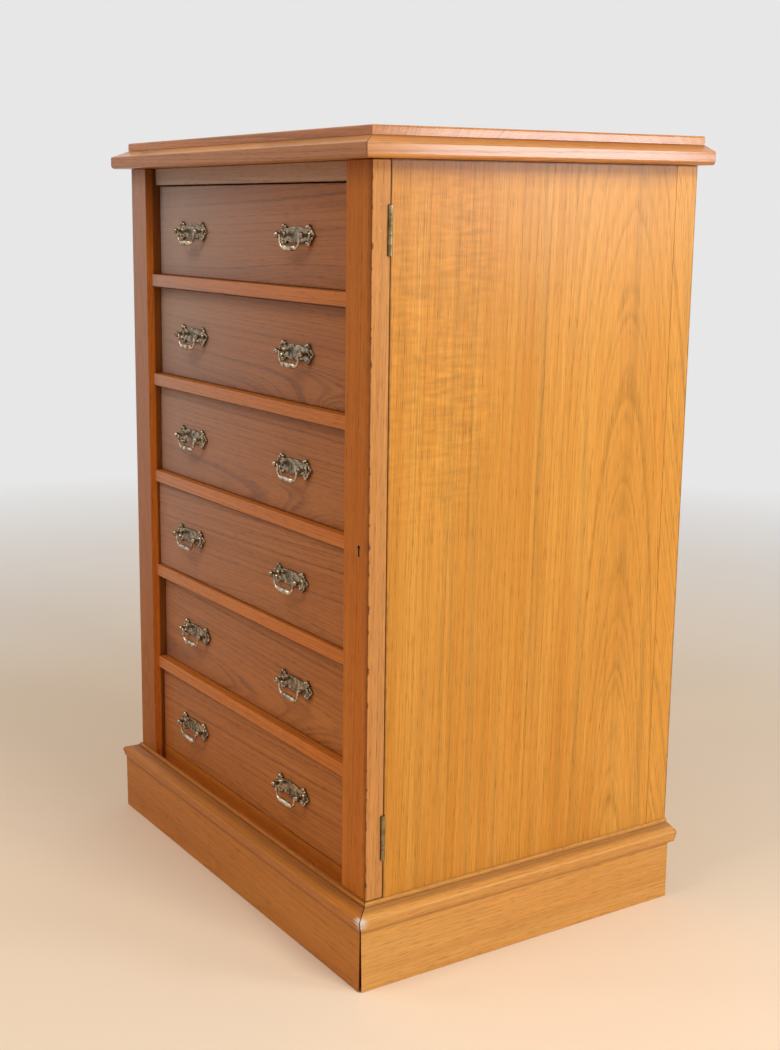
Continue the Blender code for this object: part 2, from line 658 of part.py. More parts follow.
def taken_mesh(obj, name):
    """The evaluated mesh of an object that is then removed with its helpers."""
    helpers = [m.object for m in obj.modifiers if m.type == "BOOLEAN"]
    bpy.context.view_layer.update()
    solid = as_mesh(obj)
    mesh = solid.data
    mesh.transform(solid.matrix_world)
    mesh.name = name
    for helper in helpers + [solid]:
        bpy.data.objects.remove(helper, do_unlink=True)
    return mesh


def plate_outline():
    """The handle plate's outline: a waisted shield with a lobe over and under each post and pointed ends."""
    post = POST_SPACING / 2
    lobe = (post, PLATE_HALF_HEIGHT)
    quarter = [
        (0.0, PLATE_HALF_HEIGHT),
        (post * 0.45, PLATE_HALF_HEIGHT * 0.94),
        (post - 3 * LOBE_RADIUS, PLATE_WAIST),
        (post - 1.7 * LOBE_RADIUS, (PLATE_WAIST + PLATE_HALF_HEIGHT) / 2),
        *arc(lobe, LOBE_RADIUS, 170, -10),
        (post + 1.7 * LOBE_RADIUS, 0.92 * PLATE_WAIST),
        (PLATE_HALF_WIDTH, 0.0),
    ]
    upper = [(-x, z) for x, z in reversed(quarter[1:])] + quarter
    lower = [(x, -z) for x, z in reversed(upper[1:-1])]
    return upper + lower


def turned(profile, steps):
    """A solid of revolution about Z from (radius, height) points, listed from its top down."""
    mesh = bpy.data.meshes.new("turning")
    edges = [(i, i + 1) for i in range(len(profile) - 1)]
    mesh.from_pydata([(r, 0.0, h) for r, h in profile], edges, [])
    obj = bpy.data.objects.new("turning", mesh)
    bpy.context.scene.collection.objects.link(obj)
    screw = obj.modifiers.new("turn", "SCREW")
    screw.steps = steps
    screw.render_steps = steps
    screw.use_merge_vertices = True
    screw.merge_threshold = 0.00005
    bpy.context.view_layer.update()
    return as_mesh(obj)


def post_profile():
    """A handle post from its ball head down to its root inside the plate, as (radius, height)."""
    head = PIVOT_STANDOFF
    neck_angle = math.degrees(math.asin(POST_NECK_RADIUS / BALL_RADIUS))
    ball = arc((0.0, head), BALL_RADIUS, 90, neck_angle - 90, 5)
    root = JOINT_GAP + PLATE_THICKNESS / 2
    collar_top = JOINT_GAP + PLATE_THICKNESS + POST_COLLAR_HEIGHT
    return [
        (0.0, head + BALL_RADIUS),
        *ball[1:],
        (POST_NECK_RADIUS, collar_top),
        (POST_COLLAR_RADIUS, collar_top - POST_COLLAR_HEIGHT / 2),
        (POST_COLLAR_RADIUS, root),
        (0.0, root),
    ]


def handle_plate_mesh():
    """A handle's plate with its two posts; the origin lies on the drawer front behind its middle."""
    plate = prism(plate_outline(), "Y", -JOINT_GAP - PLATE_THICKNESS, -JOINT_GAP)
    for side in (-1, 1):
        x = side * POST_SPACING / 2
        post = turned(post_profile(), 10)
        post.matrix_world = Matrix.Translation((x, 0, 0)) @ Matrix.Rotation(math.pi / 2, 4, "X")
        boolean(plate, as_cutter(post, "post"), "UNION")
        deep = x + side * BAIL_PIN_RADIUS
        mouth = x - side * 2 * BALL_RADIUS
        socket = cylinder(
            BAIL_PIN_RADIUS + PIN_CLEARANCE,
            abs(deep - mouth),
            ((deep + mouth) / 2, -PIVOT_STANDOFF, 0.0),
            "X",
            10,
        )
        boolean(plate, as_cutter(socket, "socket"), "DIFFERENCE")
    return taken_mesh(plate, "handle_plate")


def bail_points():
    """Half of the bail from its pin to the middle of the grip, as (x, z, radius)."""
    post = POST_SPACING / 2
    shoulder = post - BALL_RADIUS - BAIL_END_CLEARANCE - BAIL_ARM_RADIUS
    grip = GRIP_LENGTH / 2
    pin_end = post + BAIL_PIN_RADIUS - PIN_CLEARANCE
    drop = BAIL_DROP
    return [
        (pin_end, 0.0, BAIL_PIN_RADIUS),
        (shoulder + BAIL_ARM_RADIUS, 0.0, BAIL_PIN_RADIUS),
        (shoulder, -BAIL_ARM_RADIUS, BAIL_ARM_RADIUS),
        (shoulder + 0.1 * BAIL_ARM_RADIUS, -0.45 * drop, BAIL_ARM_RADIUS),
        (shoulder - 0.3 * (shoulder - grip), -0.75 * drop, BAIL_ARM_RADIUS),
        (grip + 0.3 * (shoulder - grip), -0.95 * drop, BAIL_ARM_RADIUS),
        (grip, -drop, BAIL_ARM_RADIUS * 1.2),
        (grip * 0.8, -drop, GRIP_RADIUS),
        (grip * 0.3, -drop, GRIP_RADIUS * 1.05),
    ]


def bail_mesh():
    """A swinging bail with a thick grip; its origin is the middle of its axis."""
    half = bail_points()
    path = half + [(-x, z, r) for x, z, r in reversed(half)]
    curve = bpy.data.curves.new("bail", "CURVE")
    curve.dimensions = "3D"
    curve.bevel_depth = 1.0
    curve.bevel_resolution = 2
    curve.use_fill_caps = True
    spline = curve.splines.new("POLY")
    spline.points.add(len(path) - 1)
    for point, (x, z, radius) in zip(spline.points, path):
        point.co = (x, 0.0, z, 1.0)
        point.radius = radius
    obj = bpy.data.objects.new("bail", curve)
    bpy.context.scene.collection.objects.link(obj)
    return taken_mesh(obj, "bail")


def place(mesh, name, parent, location, material):
    """A new object on that mesh, at a place in its parent's frame."""
    obj = bpy.data.objects.new(name, mesh)
    mesh.materials.clear()
    mesh.materials.append(material)
    PARTS.objects.link(obj)
    obj.parent = parent
    obj.location = location
    return obj


def build_drawers():
    """Six drawers, each under an empty at the middle of its face, with two handles whose bails swing."""
    front_mesh, box_mesh = drawer_front_mesh(), drawer_box_mesh()
    plate_mesh, swing_mesh = handle_plate_mesh(), bail_mesh()
    plate_mesh.shade_smooth()
    plate_mesh.set_sharp_from_angle(angle=math.radians(35))
    swing_mesh.shade_smooth()
    middle_x = (PILASTER_INNER_X + FLAP_INNER_X) / 2
    for number, setback in enumerate(DRAWER_SETBACKS, start=1):
        slide = bpy.data.objects.new(f"drawer_{number}_slide", None)
        PARTS.objects.link(slide)
        slide.location = (middle_x, FRONT_Y + setback, opening_top(number) - OPENING_HEIGHT / 2)
        place(front_mesh, f"drawer_{number}_front", slide, (0, 0, 0), FRONT_ASH)
        place(box_mesh, f"drawer_{number}_box", slide, (0, 0, 0), LINING_WOOD)
        for side, handle_x in HANDLE_PLACES.items():
            x = handle_x - middle_x
            pivot = (x, -PIVOT_STANDOFF, 0)
            place(plate_mesh, f"drawer_{number}_{side}_plate", slide, (x, 0, 0), HANDLE_BRASS)
            place(swing_mesh, f"drawer_{number}_{side}_bail", slide, pivot, HANDLE_BRASS)


build_carcass()
build_shelves()
build_top()
build_plinth()
build_flap()
build_hinges()
build_lock()
build_drawers()
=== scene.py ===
"""Visual model of a wellington chest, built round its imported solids.

The chest is polished ash: a case with a hinged locking flap, six dovetailed drawers with cast
handles, a moulded top and a mitred plinth. Every piece is modelled in place, in metres, in the
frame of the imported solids, and rides on the body that carries it.
"""

import json
import logging
import math
from contextlib import contextmanager
from dataclasses import dataclass, field, replace
from enum import Enum
from typing import Callable, Iterable, Iterator, Sequence

import bmesh
import bpy
from mathutils import Matrix, Vector


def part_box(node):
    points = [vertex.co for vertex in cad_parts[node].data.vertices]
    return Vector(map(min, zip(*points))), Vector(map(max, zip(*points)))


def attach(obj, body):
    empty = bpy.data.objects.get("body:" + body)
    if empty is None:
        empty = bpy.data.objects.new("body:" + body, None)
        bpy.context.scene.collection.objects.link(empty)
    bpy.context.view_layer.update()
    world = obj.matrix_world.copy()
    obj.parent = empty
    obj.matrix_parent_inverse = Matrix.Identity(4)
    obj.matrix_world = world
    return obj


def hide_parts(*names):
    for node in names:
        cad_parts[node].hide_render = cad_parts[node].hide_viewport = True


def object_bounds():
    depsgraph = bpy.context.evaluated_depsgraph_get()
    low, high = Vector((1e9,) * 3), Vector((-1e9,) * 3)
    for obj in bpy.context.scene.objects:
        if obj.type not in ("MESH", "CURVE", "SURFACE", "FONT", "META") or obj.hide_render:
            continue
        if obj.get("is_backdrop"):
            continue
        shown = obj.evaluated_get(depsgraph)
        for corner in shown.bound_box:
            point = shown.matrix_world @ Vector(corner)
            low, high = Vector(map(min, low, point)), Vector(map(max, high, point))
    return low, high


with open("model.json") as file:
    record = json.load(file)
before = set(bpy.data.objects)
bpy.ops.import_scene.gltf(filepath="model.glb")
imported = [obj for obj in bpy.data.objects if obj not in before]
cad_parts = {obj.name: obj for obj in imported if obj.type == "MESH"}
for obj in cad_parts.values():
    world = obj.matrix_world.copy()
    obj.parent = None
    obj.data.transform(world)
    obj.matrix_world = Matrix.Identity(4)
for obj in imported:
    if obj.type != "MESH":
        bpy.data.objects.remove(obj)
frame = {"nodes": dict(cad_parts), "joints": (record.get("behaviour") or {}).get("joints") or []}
CAD_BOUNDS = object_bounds()
LOG = logging.getLogger("wellington_chest")

Colour = tuple[float, float, float]
Place = tuple[float, float, float] | Vector
Pair = tuple[float, float]
Solid = bpy.types.Object
Socket = bpy.types.NodeSocket
Material = bpy.types.Material

MM = 0.001
# Play between pieces that meet, and the tolerance of a test of place
FIT = 0.0002
# How far a cutting tool runs past the face that it opens
PAST = 0.02
# Points nearer to each other than this become one
MERGE = 0.00001
# An edge that spans more than this runs along a board
LONG_EDGE = 0.1
SMOOTH_ANGLE = math.radians(35)
HINGES = ("upper", "lower")
DRAWERS = range(1, 7)
DIVIDERS = range(1, 6)
LOCK_DIVIDER = 3


class Slot(Enum):
    """The record's material slots."""

    CASE = "case_ash"
    FRONT = "front_ash"
    LINING = "lining_wood"
    HINGE = "hinge_brass"
    HANDLE = "handle_brass"
    LOCK = "lock_steel"


# Bench tools: one mesh is shaped at a time, in edit mode


def deselect_all() -> None:
    """Leaves edit mode and selects nothing."""
    if bpy.context.mode != "OBJECT":
        bpy.ops.object.mode_set(mode="OBJECT")
    bpy.ops.object.select_all(action="DESELECT")


def make_active(obj: Solid) -> None:
    """Selects one object alone and makes it active."""
    deselect_all()
    obj.select_set(True)
    bpy.context.view_layer.objects.active = obj


@contextmanager
def editing(obj: Solid, select: str = "SELECT") -> Iterator[None]:
    """Edit mode on one object.

    Args:
        obj: The object to edit.
        select: SELECT or DESELECT, for all of its mesh at the start.
    """
    make_active(obj)
    bpy.ops.object.mode_set(mode="EDIT")
    bpy.ops.mesh.select_mode(type="VERT")
    bpy.ops.mesh.select_all(action=select)
    yield
    bpy.ops.object.mode_set(mode="OBJECT")


def pick_edges(obj: Solid, test: Callable[[Vector, Vector], bool]) -> None:
    """Selects, in edit mode, the edges whose two ends pass a test.

    Args:
        obj: The object in edit mode.
        test: Says from an edge's two ends whether to select it.
    """
    bpy.ops.mesh.select_mode(type="EDGE")
    bpy.ops.mesh.select_all(action="DESELECT")
    mesh = bmesh.from_edit_mesh(obj.data)
    for edge in mesh.edges:
        edge.select = test(edge.verts[0].co, edge.verts[1].co)
    mesh.select_flush_mode()
    bmesh.update_edit_mesh(obj.data)


def settle(name: str) -> Solid:
    """Names the newest primitive, and puts its place and size into its mesh."""
    obj = bpy.context.object
    obj.name = name
    bpy.ops.object.transform_apply(location=True, rotation=True, scale=True)
    return obj


def block(name: str, low: Place, high: Place) -> Solid:
    """A block between two corners, with its place in its mesh.

    Args:
        name: Name of the new object.
        low: Lowest corner.
        high: Highest corner.

    Returns:
        The new object.
    """
    low, high = Vector(low), Vector(high)
    deselect_all()
    bpy.ops.mesh.primitive_cube_add(size=1.0, location=(low + high) / 2, scale=high - low)
    return settle(name)


def dome(name: str, centre: Place, size: Place) -> Solid:
    """A round boss: a sphere drawn out to three half sizes.

    Args:
        name: Name of the new object.
        centre: Its middle.
        size: Its half sizes in X, Y and Z.

    Returns:
        The new object.
    """
    deselect_all()
    bpy.ops.mesh.primitive_uv_sphere_add(
        segments=20, ring_count=12, radius=1.0, location=centre, scale=size
    )
    return settle(name)


def round_edges(
    obj: Solid,
    width: float,
    segments: int = 3,
    test: Callable[[Vector, Vector], bool] = lambda a, b: True,
) -> Solid:
    """Bevels the chosen edges of a piece.

    Args:
        obj: The piece.
        width: Width of the bevel.
        segments: Number of facets.
        test: Says from an edge's two ends whether to bevel it.

    Returns:
        The same piece.
    """
    with editing(obj):
        pick_edges(obj, test)
        bpy.ops.mesh.bevel(offset=width, segments=segments, affect="EDGES", clamp_overlap=True)
    return obj


def trim(obj: Solid, point: Place, normal: Place) -> Solid:
    """Cuts away what lies past a plane, on the side its normal points to, and closes the cut."""
    with editing(obj):
        bpy.ops.mesh.bisect(plane_co=point, plane_no=normal, use_fill=True, clear_outer=True)
    return obj


def score(obj: Solid, axis: int, places: Iterable[float]) -> Solid:
    """Adds edge loops across a piece.

    Args:
        obj: The piece.
        axis: 0, 1 or 2 for X, Y or Z.
        places: Where the loops lie along the axis.

    Returns:
        The same piece.
    """
    for place in places:
        point, normal = Vector(), Vector()
        point[axis] = place
        normal[axis] = 1.0
        with editing(obj):
            bpy.ops.mesh.bisect(plane_co=point, plane_no=normal)
    return obj


def chain(name: str, points: Sequence[Place]) -> Solid:
    """A row of vertices drawn by extruding from point to point, left in edit mode.

    Args:
        name: Name of the new object.
        points: The places to draw through.

    Returns:
        The new object, in edit mode with everything selected.
    """
    deselect_all()
    bpy.ops.mesh.primitive_plane_add(size=MM)
    obj = bpy.context.object
    obj.name = name
    bpy.ops.object.mode_set(mode="EDIT")
    bpy.ops.mesh.select_mode(type="VERT")
    bpy.ops.mesh.select_all(action="SELECT")
    bpy.ops.mesh.merge(type="CENTER")
    bpy.ops.transform.translate(value=points[0])
    for first, second in zip(points, points[1:]):
        step = Vector(second) - Vector(first)
        bpy.ops.mesh.extrude_vertices_move(TRANSFORM_OT_translate={"value": step})
    bpy.ops.mesh.select_all(action="SELECT")
    return obj


def close_up(merge: bool = False) -> None:
    """Ends the drawing of a shape: turns its faces outwards and leaves edit mode.

    Args:
        merge: Whether its doubles are merged first.
    """
    bpy.ops.mesh.select_all(action="SELECT")
    if merge:
        bpy.ops.mesh.remove_doubles(threshold=MERGE)
    bpy.ops.mesh.normals_make_consistent(inside=False)
    bpy.ops.object.mode_set(mode="OBJECT")


def bar(name: str, section: Sequence[Pair], axis: int, low: float, high: float) -> Solid:
    """A section drawn point by point, filled, and extruded along an axis.

    Args:
        name: Name of the new object.
        section: Points in the other two coordinates, in order.
        axis: 0, 1 or 2 for X, Y or Z.
        low: Where it starts along the axis.
        high: Where it ends.

    Returns:
        The new object.
    """
    points = []
    for first, second in section:
        point = [first, second]
        point.insert(axis, low)
        points.append(tuple(point))
    obj = chain(name, points)
    bpy.ops.mesh.edge_face_add()
    step = Vector()
    step[axis] = high - low
    bpy.ops.mesh.extrude_region_move(TRANSFORM_OT_translate={"value": step})
    close_up()
    return obj


def turned(name: str, profile: Sequence[Pair], centre: Place, axis: Place, steps: int = 20) -> Solid:
    """A profile spun about an axis.

    Args:
        name: Name of the new object.
        profile: (radius, distance along the axis) points from one end to the other.
        centre: Where distance 0 lies on the axis.
        axis: Direction of the axis, a unit vector.
        steps: Number of facets round it.

    Returns:
        The new object.
    """
    centre, axis = Vector(centre), Vector(axis)
    aside = axis.orthogonal().normalized()
    obj = chain(name, [centre + aside * r + axis * along for r, along in profile])
    bpy.ops.mesh.spin(steps=steps, angle=2 * math.pi, center=centre, axis=axis)
    close_up(merge=True)
    return obj


def drum(radius: float, half: float, soft: float = 0.0) -> list[Pair]:
    """The profile of a drum, for turning.

    Args:
        radius: Its radius.
        half: Half its length.
        soft: Width of the chamfer round its two rims.

    Returns:
        (radius, distance along the axis) points from one end to the other.
    """
    rim = [(radius, half - soft), (radius - soft, half)] if soft else [(radius, half)]
    upper = rim + [(0.0, half)]
    return [(r, -along) for r, along in reversed(upper)] + upper


def apply_modifier(obj: Solid, kind: str, **settings: object) -> Solid:
    """Adds one modifier and applies it.

    Args:
        obj: The piece.
        kind: Type of the modifier.
        settings: Its properties.

    Returns:
        The same piece.
    """
    modifier = obj.modifiers.new(kind.lower(), kind)
    for key, value in settings.items():
        setattr(modifier, key, value)
    make_active(obj)
    bpy.ops.object.modifier_apply(modifier=modifier.name)
    return obj


def discard(*objs: Solid) -> None:
    """Removes shapes that are used up."""
    for obj in objs:
        bpy.data.objects.remove(obj, do_unlink=True)


def carve(obj: Solid, *tools: Solid, operation: str = "DIFFERENCE") -> Solid:
    """Cuts tools out of a piece, or joins them to it, and removes them.

    Args:
        obj: The piece.
        tools: The shapes to cut or join, which are used up.
        operation: DIFFERENCE or UNION.

    Returns:
        The same piece.
    """
    for tool in tools:
        apply_modifier(obj, "BOOLEAN", operation=operation, object=tool, solver="EXACT")
        discard(tool)
    return obj


def copy_of(obj: Solid, name: str, offset: Place) -> Solid:
    """A copy with its own mesh.

    Args:
        obj: The piece to copy.
        name: Name of the copy.
        offset: How far its mesh is moved.

    Returns:
        The copy.
    """
    twin = obj.copy()
    twin.data = obj.data.copy()
    twin.name = name
    twin.data.transform(Matrix.Translation(offset))
    bpy.context.scene.collection.objects.link(twin)
    return twin


def arc(centre: Pair, radius: float, first: float, last: float, steps: int = 6) -> list[Pair]:
    """Points along a circular arc between two angles in degrees, ends included."""
    turns = [math.radians(first + (last - first) * i / steps) for i in range(steps + 1)]
    return [(centre[0] + radius * math.cos(t), centre[1] + radius * math.sin(t)) for t in turns]


def wear_edge(obj: Solid, test: Callable[[Vector], bool], depth: float, grain: float) -> Solid:
    """Wears the vertices that pass a test with a cloudy displacement, so an edge reads as handled.

    Args:
        obj: A piece with edge loops along the edge.
        test: Says which vertices are worn.
        depth: Greatest depth of the wear.
        grain: Size of its lumps.

    Returns:
        The same piece.
    """
    group = obj.vertex_groups.new(name="worn")
    worn = [v.index for v in obj.data.vertices if test(v.co)]
    group.add(worn, 1.0, "REPLACE")
    clouds = bpy.data.textures.new(obj.name + "_wear", "CLOUDS")
    clouds.noise_scale = grain
    clouds.noise_depth = 2
    apply_modifier(
        obj,
        "DISPLACE",
        texture=clouds,
        texture_coords="LOCAL",
        strength=depth,
        mid_level=0.85,
        vertex_group=group.name,
    )
    return obj


def fit(obj: Solid, body: str, kind: Slot, material: Material, *nodes: str) -> Solid:
    """Finishes a piece: its material, its shading, its body and the solids it stands for.

    Args:
        obj: The piece.
        body: The body that it rides on.
        kind: The record's material slot; not used.
        material: Its material.
        nodes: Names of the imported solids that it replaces.

    Returns:
        The same piece.
    """
    make_active(obj)
    obj.data.materials.clear()
    obj.data.materials.append(material)
    bpy.ops.object.shade_smooth_by_angle(angle=SMOOTH_ANGLE)
    apply_modifier(obj, "WEIGHTED_NORMAL", keep_sharp=True)
    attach(obj, body)
    if nodes:
        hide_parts(*nodes)
    LOG.info("%s rides on %s", obj.name, body)
    return obj


def pivot_of(joint: str) -> Vector:
    """A point on a joint's axis, at rest."""
    return Vector(next(row["pos_m"] for row in frame["joints"] if row["name"] == joint))


@dataclass(frozen=True)
class Box:
    """The box of a piece."""

    low: Vector
    high: Vector

    @classmethod
    def of(cls, node: str) -> "Box":
        """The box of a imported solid."""
        low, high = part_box(node)
        return cls(low.copy(), high.copy())

    @property
    def middle(self) -> Vector:
        """The middle of the box."""
        return (self.low + self.high) / 2

    @property
    def size(self) -> Vector:
        """The three extents."""
        return self.high - self.low


def rounded_board(name: str, box: Box, rounding: float, segments: int = 2) -> Solid:
    """A board that fills a box, with all its edges rounded."""
    return round_edges(block(name, box.low, box.high), rounding, segments)


# Finishes


class Shading:
    """A material under construction, with short ways to add its nodes."""

    def __init__(self, name: str) -> None:
        """Starts a material with one Principled shader."""
        self.material = bpy.data.materials.new(name)
        self.material.use_nodes = True
        self.tree = self.material.node_tree
        self.surface = self.tree.nodes["Principled BSDF"]

    def add(self, kind: str, inputs: dict | None = None, **settings: object) -> bpy.types.Node:
        """Adds a node.

        Args:
            kind: Type of the node.
            inputs: Sockets or values for its inputs, by name or number.
            settings: Its properties.

        Returns:
            The node.
        """
        node = self.tree.nodes.new(kind)
        for key, value in settings.items():
            setattr(node, key, value)
        for key, value in (inputs or {}).items():
            self.feed(node.inputs[key], value)
        return node

    def feed(self, socket: Socket, value: object) -> None:
        """Links a socket to another, or sets its value.

        Args:
            socket: The socket to feed.
            value: Another socket, a number, a vector or a colour.
        """
        if isinstance(value, bpy.types.NodeSocket):
            self.tree.links.new(value, socket)
        elif socket.type == "RGBA" and len(value) == 3:
            socket.default_value = (*value, 1.0)
        else:
            socket.default_value = value

    def place(self) -> Socket:
        """Object coordinates, which are metres in the chest's frame."""
        return self.add("ShaderNodeTexCoord").outputs["Object"]

    def facing(self) -> Socket:
        """The way a face points, in the piece's own axes."""
        return self.add("ShaderNodeTexCoord").outputs["Normal"]

    def split(self, vector: Socket) -> list[Socket]:
        """The three parts of a vector."""
        return list(self.add("ShaderNodeSeparateXYZ", {0: vector}).outputs)

    def join(self, *parts: object) -> Socket:
        """A vector from three parts."""
        return self.add("ShaderNodeCombineXYZ", dict(enumerate(parts))).outputs[0]

    def math(self, operation: str, *values: object, clamp: bool = False) -> Socket:
        """One step of arithmetic."""
        inputs = dict(enumerate(values))
        return self.add("ShaderNodeMath", inputs, operation=operation, use_clamp=clamp).outputs[0]

    def vector(self, operation: str, *values: object) -> Socket:
        """One step of vector arithmetic."""
        node = self.add("ShaderNodeVectorMath", dict(enumerate(values)), operation=operation)
        return node.outputs["Value"] if operation == "LENGTH" else node.outputs[0]

    def noise(self, vector: Socket, scale: Place, detail: float = 2.0, cloud: bool = False) -> Socket:
        """Noise on a stretched vector: a value, or a cloud of three values."""
        stretched = self.vector("MULTIPLY", vector, scale)
        node = self.add("ShaderNodeTexNoise", {"Vector": stretched, "Scale": 1.0, "Detail": detail})
        return node.outputs["Color" if cloud else "Fac"]

    def series(self, value: Socket, scale: float, detail: float) -> Socket:
        """Noise along one value."""
        inputs = {"W": value, "Scale": scale, "Detail": detail}
        return self.add("ShaderNodeTexNoise", inputs, noise_dimensions="1D").outputs["Fac"]

    def remap(self, value: Socket, low: float, high: float, to_low: float, to_high: float) -> Socket:
        """A clamped linear change of range."""
        inputs = {0: value, 1: low, 2: high, 3: to_low, 4: to_high}
        return self.add("ShaderNodeMapRange", inputs).outputs[0]

    def ramp(self, value: Socket, stops: Sequence[Pair]) -> Socket:
        """A grey ramp.

        Args:
            value: What the ramp is read at.
            stops: (place, grey) stops in order.

        Returns:
            The grey.
        """
        node = self.add("ShaderNodeValToRGB", {0: value})
        elements = node.color_ramp.elements
        while len(elements) < len(stops):
            elements.new(1.0)
        for element, (place, grey) in zip(elements, stops):
            element.position = place
            element.color = (grey, grey, grey, 1.0)
        return node.outputs[0]

    def mix(self, share: object, first: object, second: object, blend: str = "MIX") -> Socket:
        """Two colours mixed by a share."""
        node = self.add("ShaderNodeMix", data_type="RGBA", blend_type=blend)
        for index, value in ((0, share), (6, first), (7, second)):
            self.feed(node.inputs[index], value)
        return node.outputs[2]

    def relief(self, height: Socket, strength: float, distance: float) -> None:
        """Gives the surface a bump."""
        inputs = {"Height": height, "Strength": strength, "Distance": distance}
        self.set("Normal", self.add("ShaderNodeBump", inputs).outputs[0])

    def set(self, name: str, value: object) -> None:
        """Sets or links one input of the shader."""
        self.feed(self.surface.inputs[name], value)


class Grain(Enum):
    """The direction that a board's grain runs in, as the order of (across, across, along)."""

    X = (1, 2, 0)
    Y = (0, 2, 1)
    Z = (0, 1, 2)


@dataclass(frozen=True)
class Cut:
    """How a board was sawn from its log.

    Attributes:
        grain: Direction of the grain.
        heart: Place of the log's heart across the grain, in metres of the chest's frame.
        taper: How fast the rings widen along the grain, which draws out their arches.
        wander: How far the rings sway.
        curl: Strength of the rippled figure across the grain.
        curl_place: Middle of the rippled patch, or None for patches all over.
        arris: X and Y of an upright corner that is worn dark, or None.
        bruises: Places where the polish is lost, each with its reach and its strength.
        swell: Middle of a swelling in the log that the rings arch round, or None.
        shaded_seams: Heights of grooves and overhung edges, darkened by painted shade with some dirt.
        seam_reach: How far the darkness of a groove spreads.
        seam_strength: How dark a groove is, 0 to 1.
        painted_ledge_shade: Strength of the painted shade on faces turned up.
        painted_recess_shade: Strength of the painted shade at the back of a recess on faces to the
            right, and the depth (Y) that it starts at.
        painted_shadow_front: Strength and reach of the painted shadow under the board's top, on faces
            to the front.
        painted_shadow_right: The same on faces to the right.
        flame: Further taper near the heart, and the height that it starts from.
        specks: Share of small dark marks, 0 to 1.
        tone: Factor on the board's colour, which on some boards paints shade.
        bloom_and_sheen: Strength of the grey clouding of its polish and the painted sheen with it,
            which grow towards the top left.
    """

    grain: Grain
    heart: Pair
    taper: float = 0.012
    wander: float = 0.008
    curl: float = 0.0
    curl_place: Place | None = None
    arris: Pair | None = None
    bruises: tuple[tuple[Place, float, float], ...] = ()
    swell: Place | None = None
    shaded_seams: tuple[float, ...] = ()
    seam_reach: float = 3.0 * MM
    seam_strength: float = 0.45
    painted_ledge_shade: float = 0.0
    painted_recess_shade: Pair | None = None
    painted_shadow_front: Pair | None = None
    painted_shadow_right: Pair | None = None
    flame: Pair | None = None
    specks: float = 0.0
    tone: float = 1.0
    bloom_and_sheen: float = 0.0


# Patterns of the wood: how often each repeats to the metre, twice across the log and along it
PORE_SCALE = (800.0, 800.0, 45.0)
FIBRE_SCALE = (560.0, 560.0, 14.0)
DRIFT_SCALE = (6.0, 6.0, 1.4)
STREAK_SCALE = (55.0, 55.0, 1.1)
BAND_SCALE = (85.0, 85.0, 0.9)
SWAY_SCALE = (3.0, 3.0, 1.3)
RIPPLE_SCALE = (90.0, 90.0, 12.0)
CURL_SCALE = (30.0, 30.0, 150.0)
PATCH_SCALE = (5.0, 5.0, 3.0)
# Where the curl starts in its pattern
CURL_START = (0.0, 0.0, 22.5)

# The same in the chest's X, Y and Z, for what came after the sawing
BLOTCH_SCALE = (90.0, 90.0, 70.0)
ARRIS_GRIME_SCALE = (0.0, 0.0, 45.0)
ARRIS_CHIP_SCALE = (0.0, 0.0, 62.0)
SPECK_SCALE = 22.0

# Early wood through one ring, as (share of the ring, strength)
RING_STOPS = ((0.0, 0.8), (0.12, 1.0), (0.45, 0.25), (0.72, 0.0), (0.86, 0.05), (1.0, 0.8))
# Distances from the heart between which the flame fades out
FLAME_REACH = (0.04, 0.11)
# A swelling in the log: its steepness across and along the grain, and its rise in rings
SWELL_ACROSS = 16.0
SWELL_ALONG = 3.6
SWELL_RINGS = 8.0
# The curled patch: its steepness in X, Y and Z, and the distances between which it fades out
CURL_SPREAD = (0.0, 1.6, 0.8)
CURL_FADE = (0.05, 0.24)
# Darkest and lightest fibres, as factors on the colour
FIBRE_LIGHT = (0.87, 1.11)
# How far a face has to point one way before it counts as turned that way, and counts in full
FACING = (0.5, 0.9)
# The clouded polish and painted sheen as (slope, start): upwards in Z, and leftwards in X
BLOOM_AND_SHEEN_RISE = (0.65, -0.05)
BLOOM_AND_SHEEN_FADE = (-1.2, 0.652)
# Half width of a groove's full darkness, and the depth over which painted shade at the back of a face
# sets in
SEAM_CORE = 0.3 * MM
DEEP_REACH = 3.0 * MM


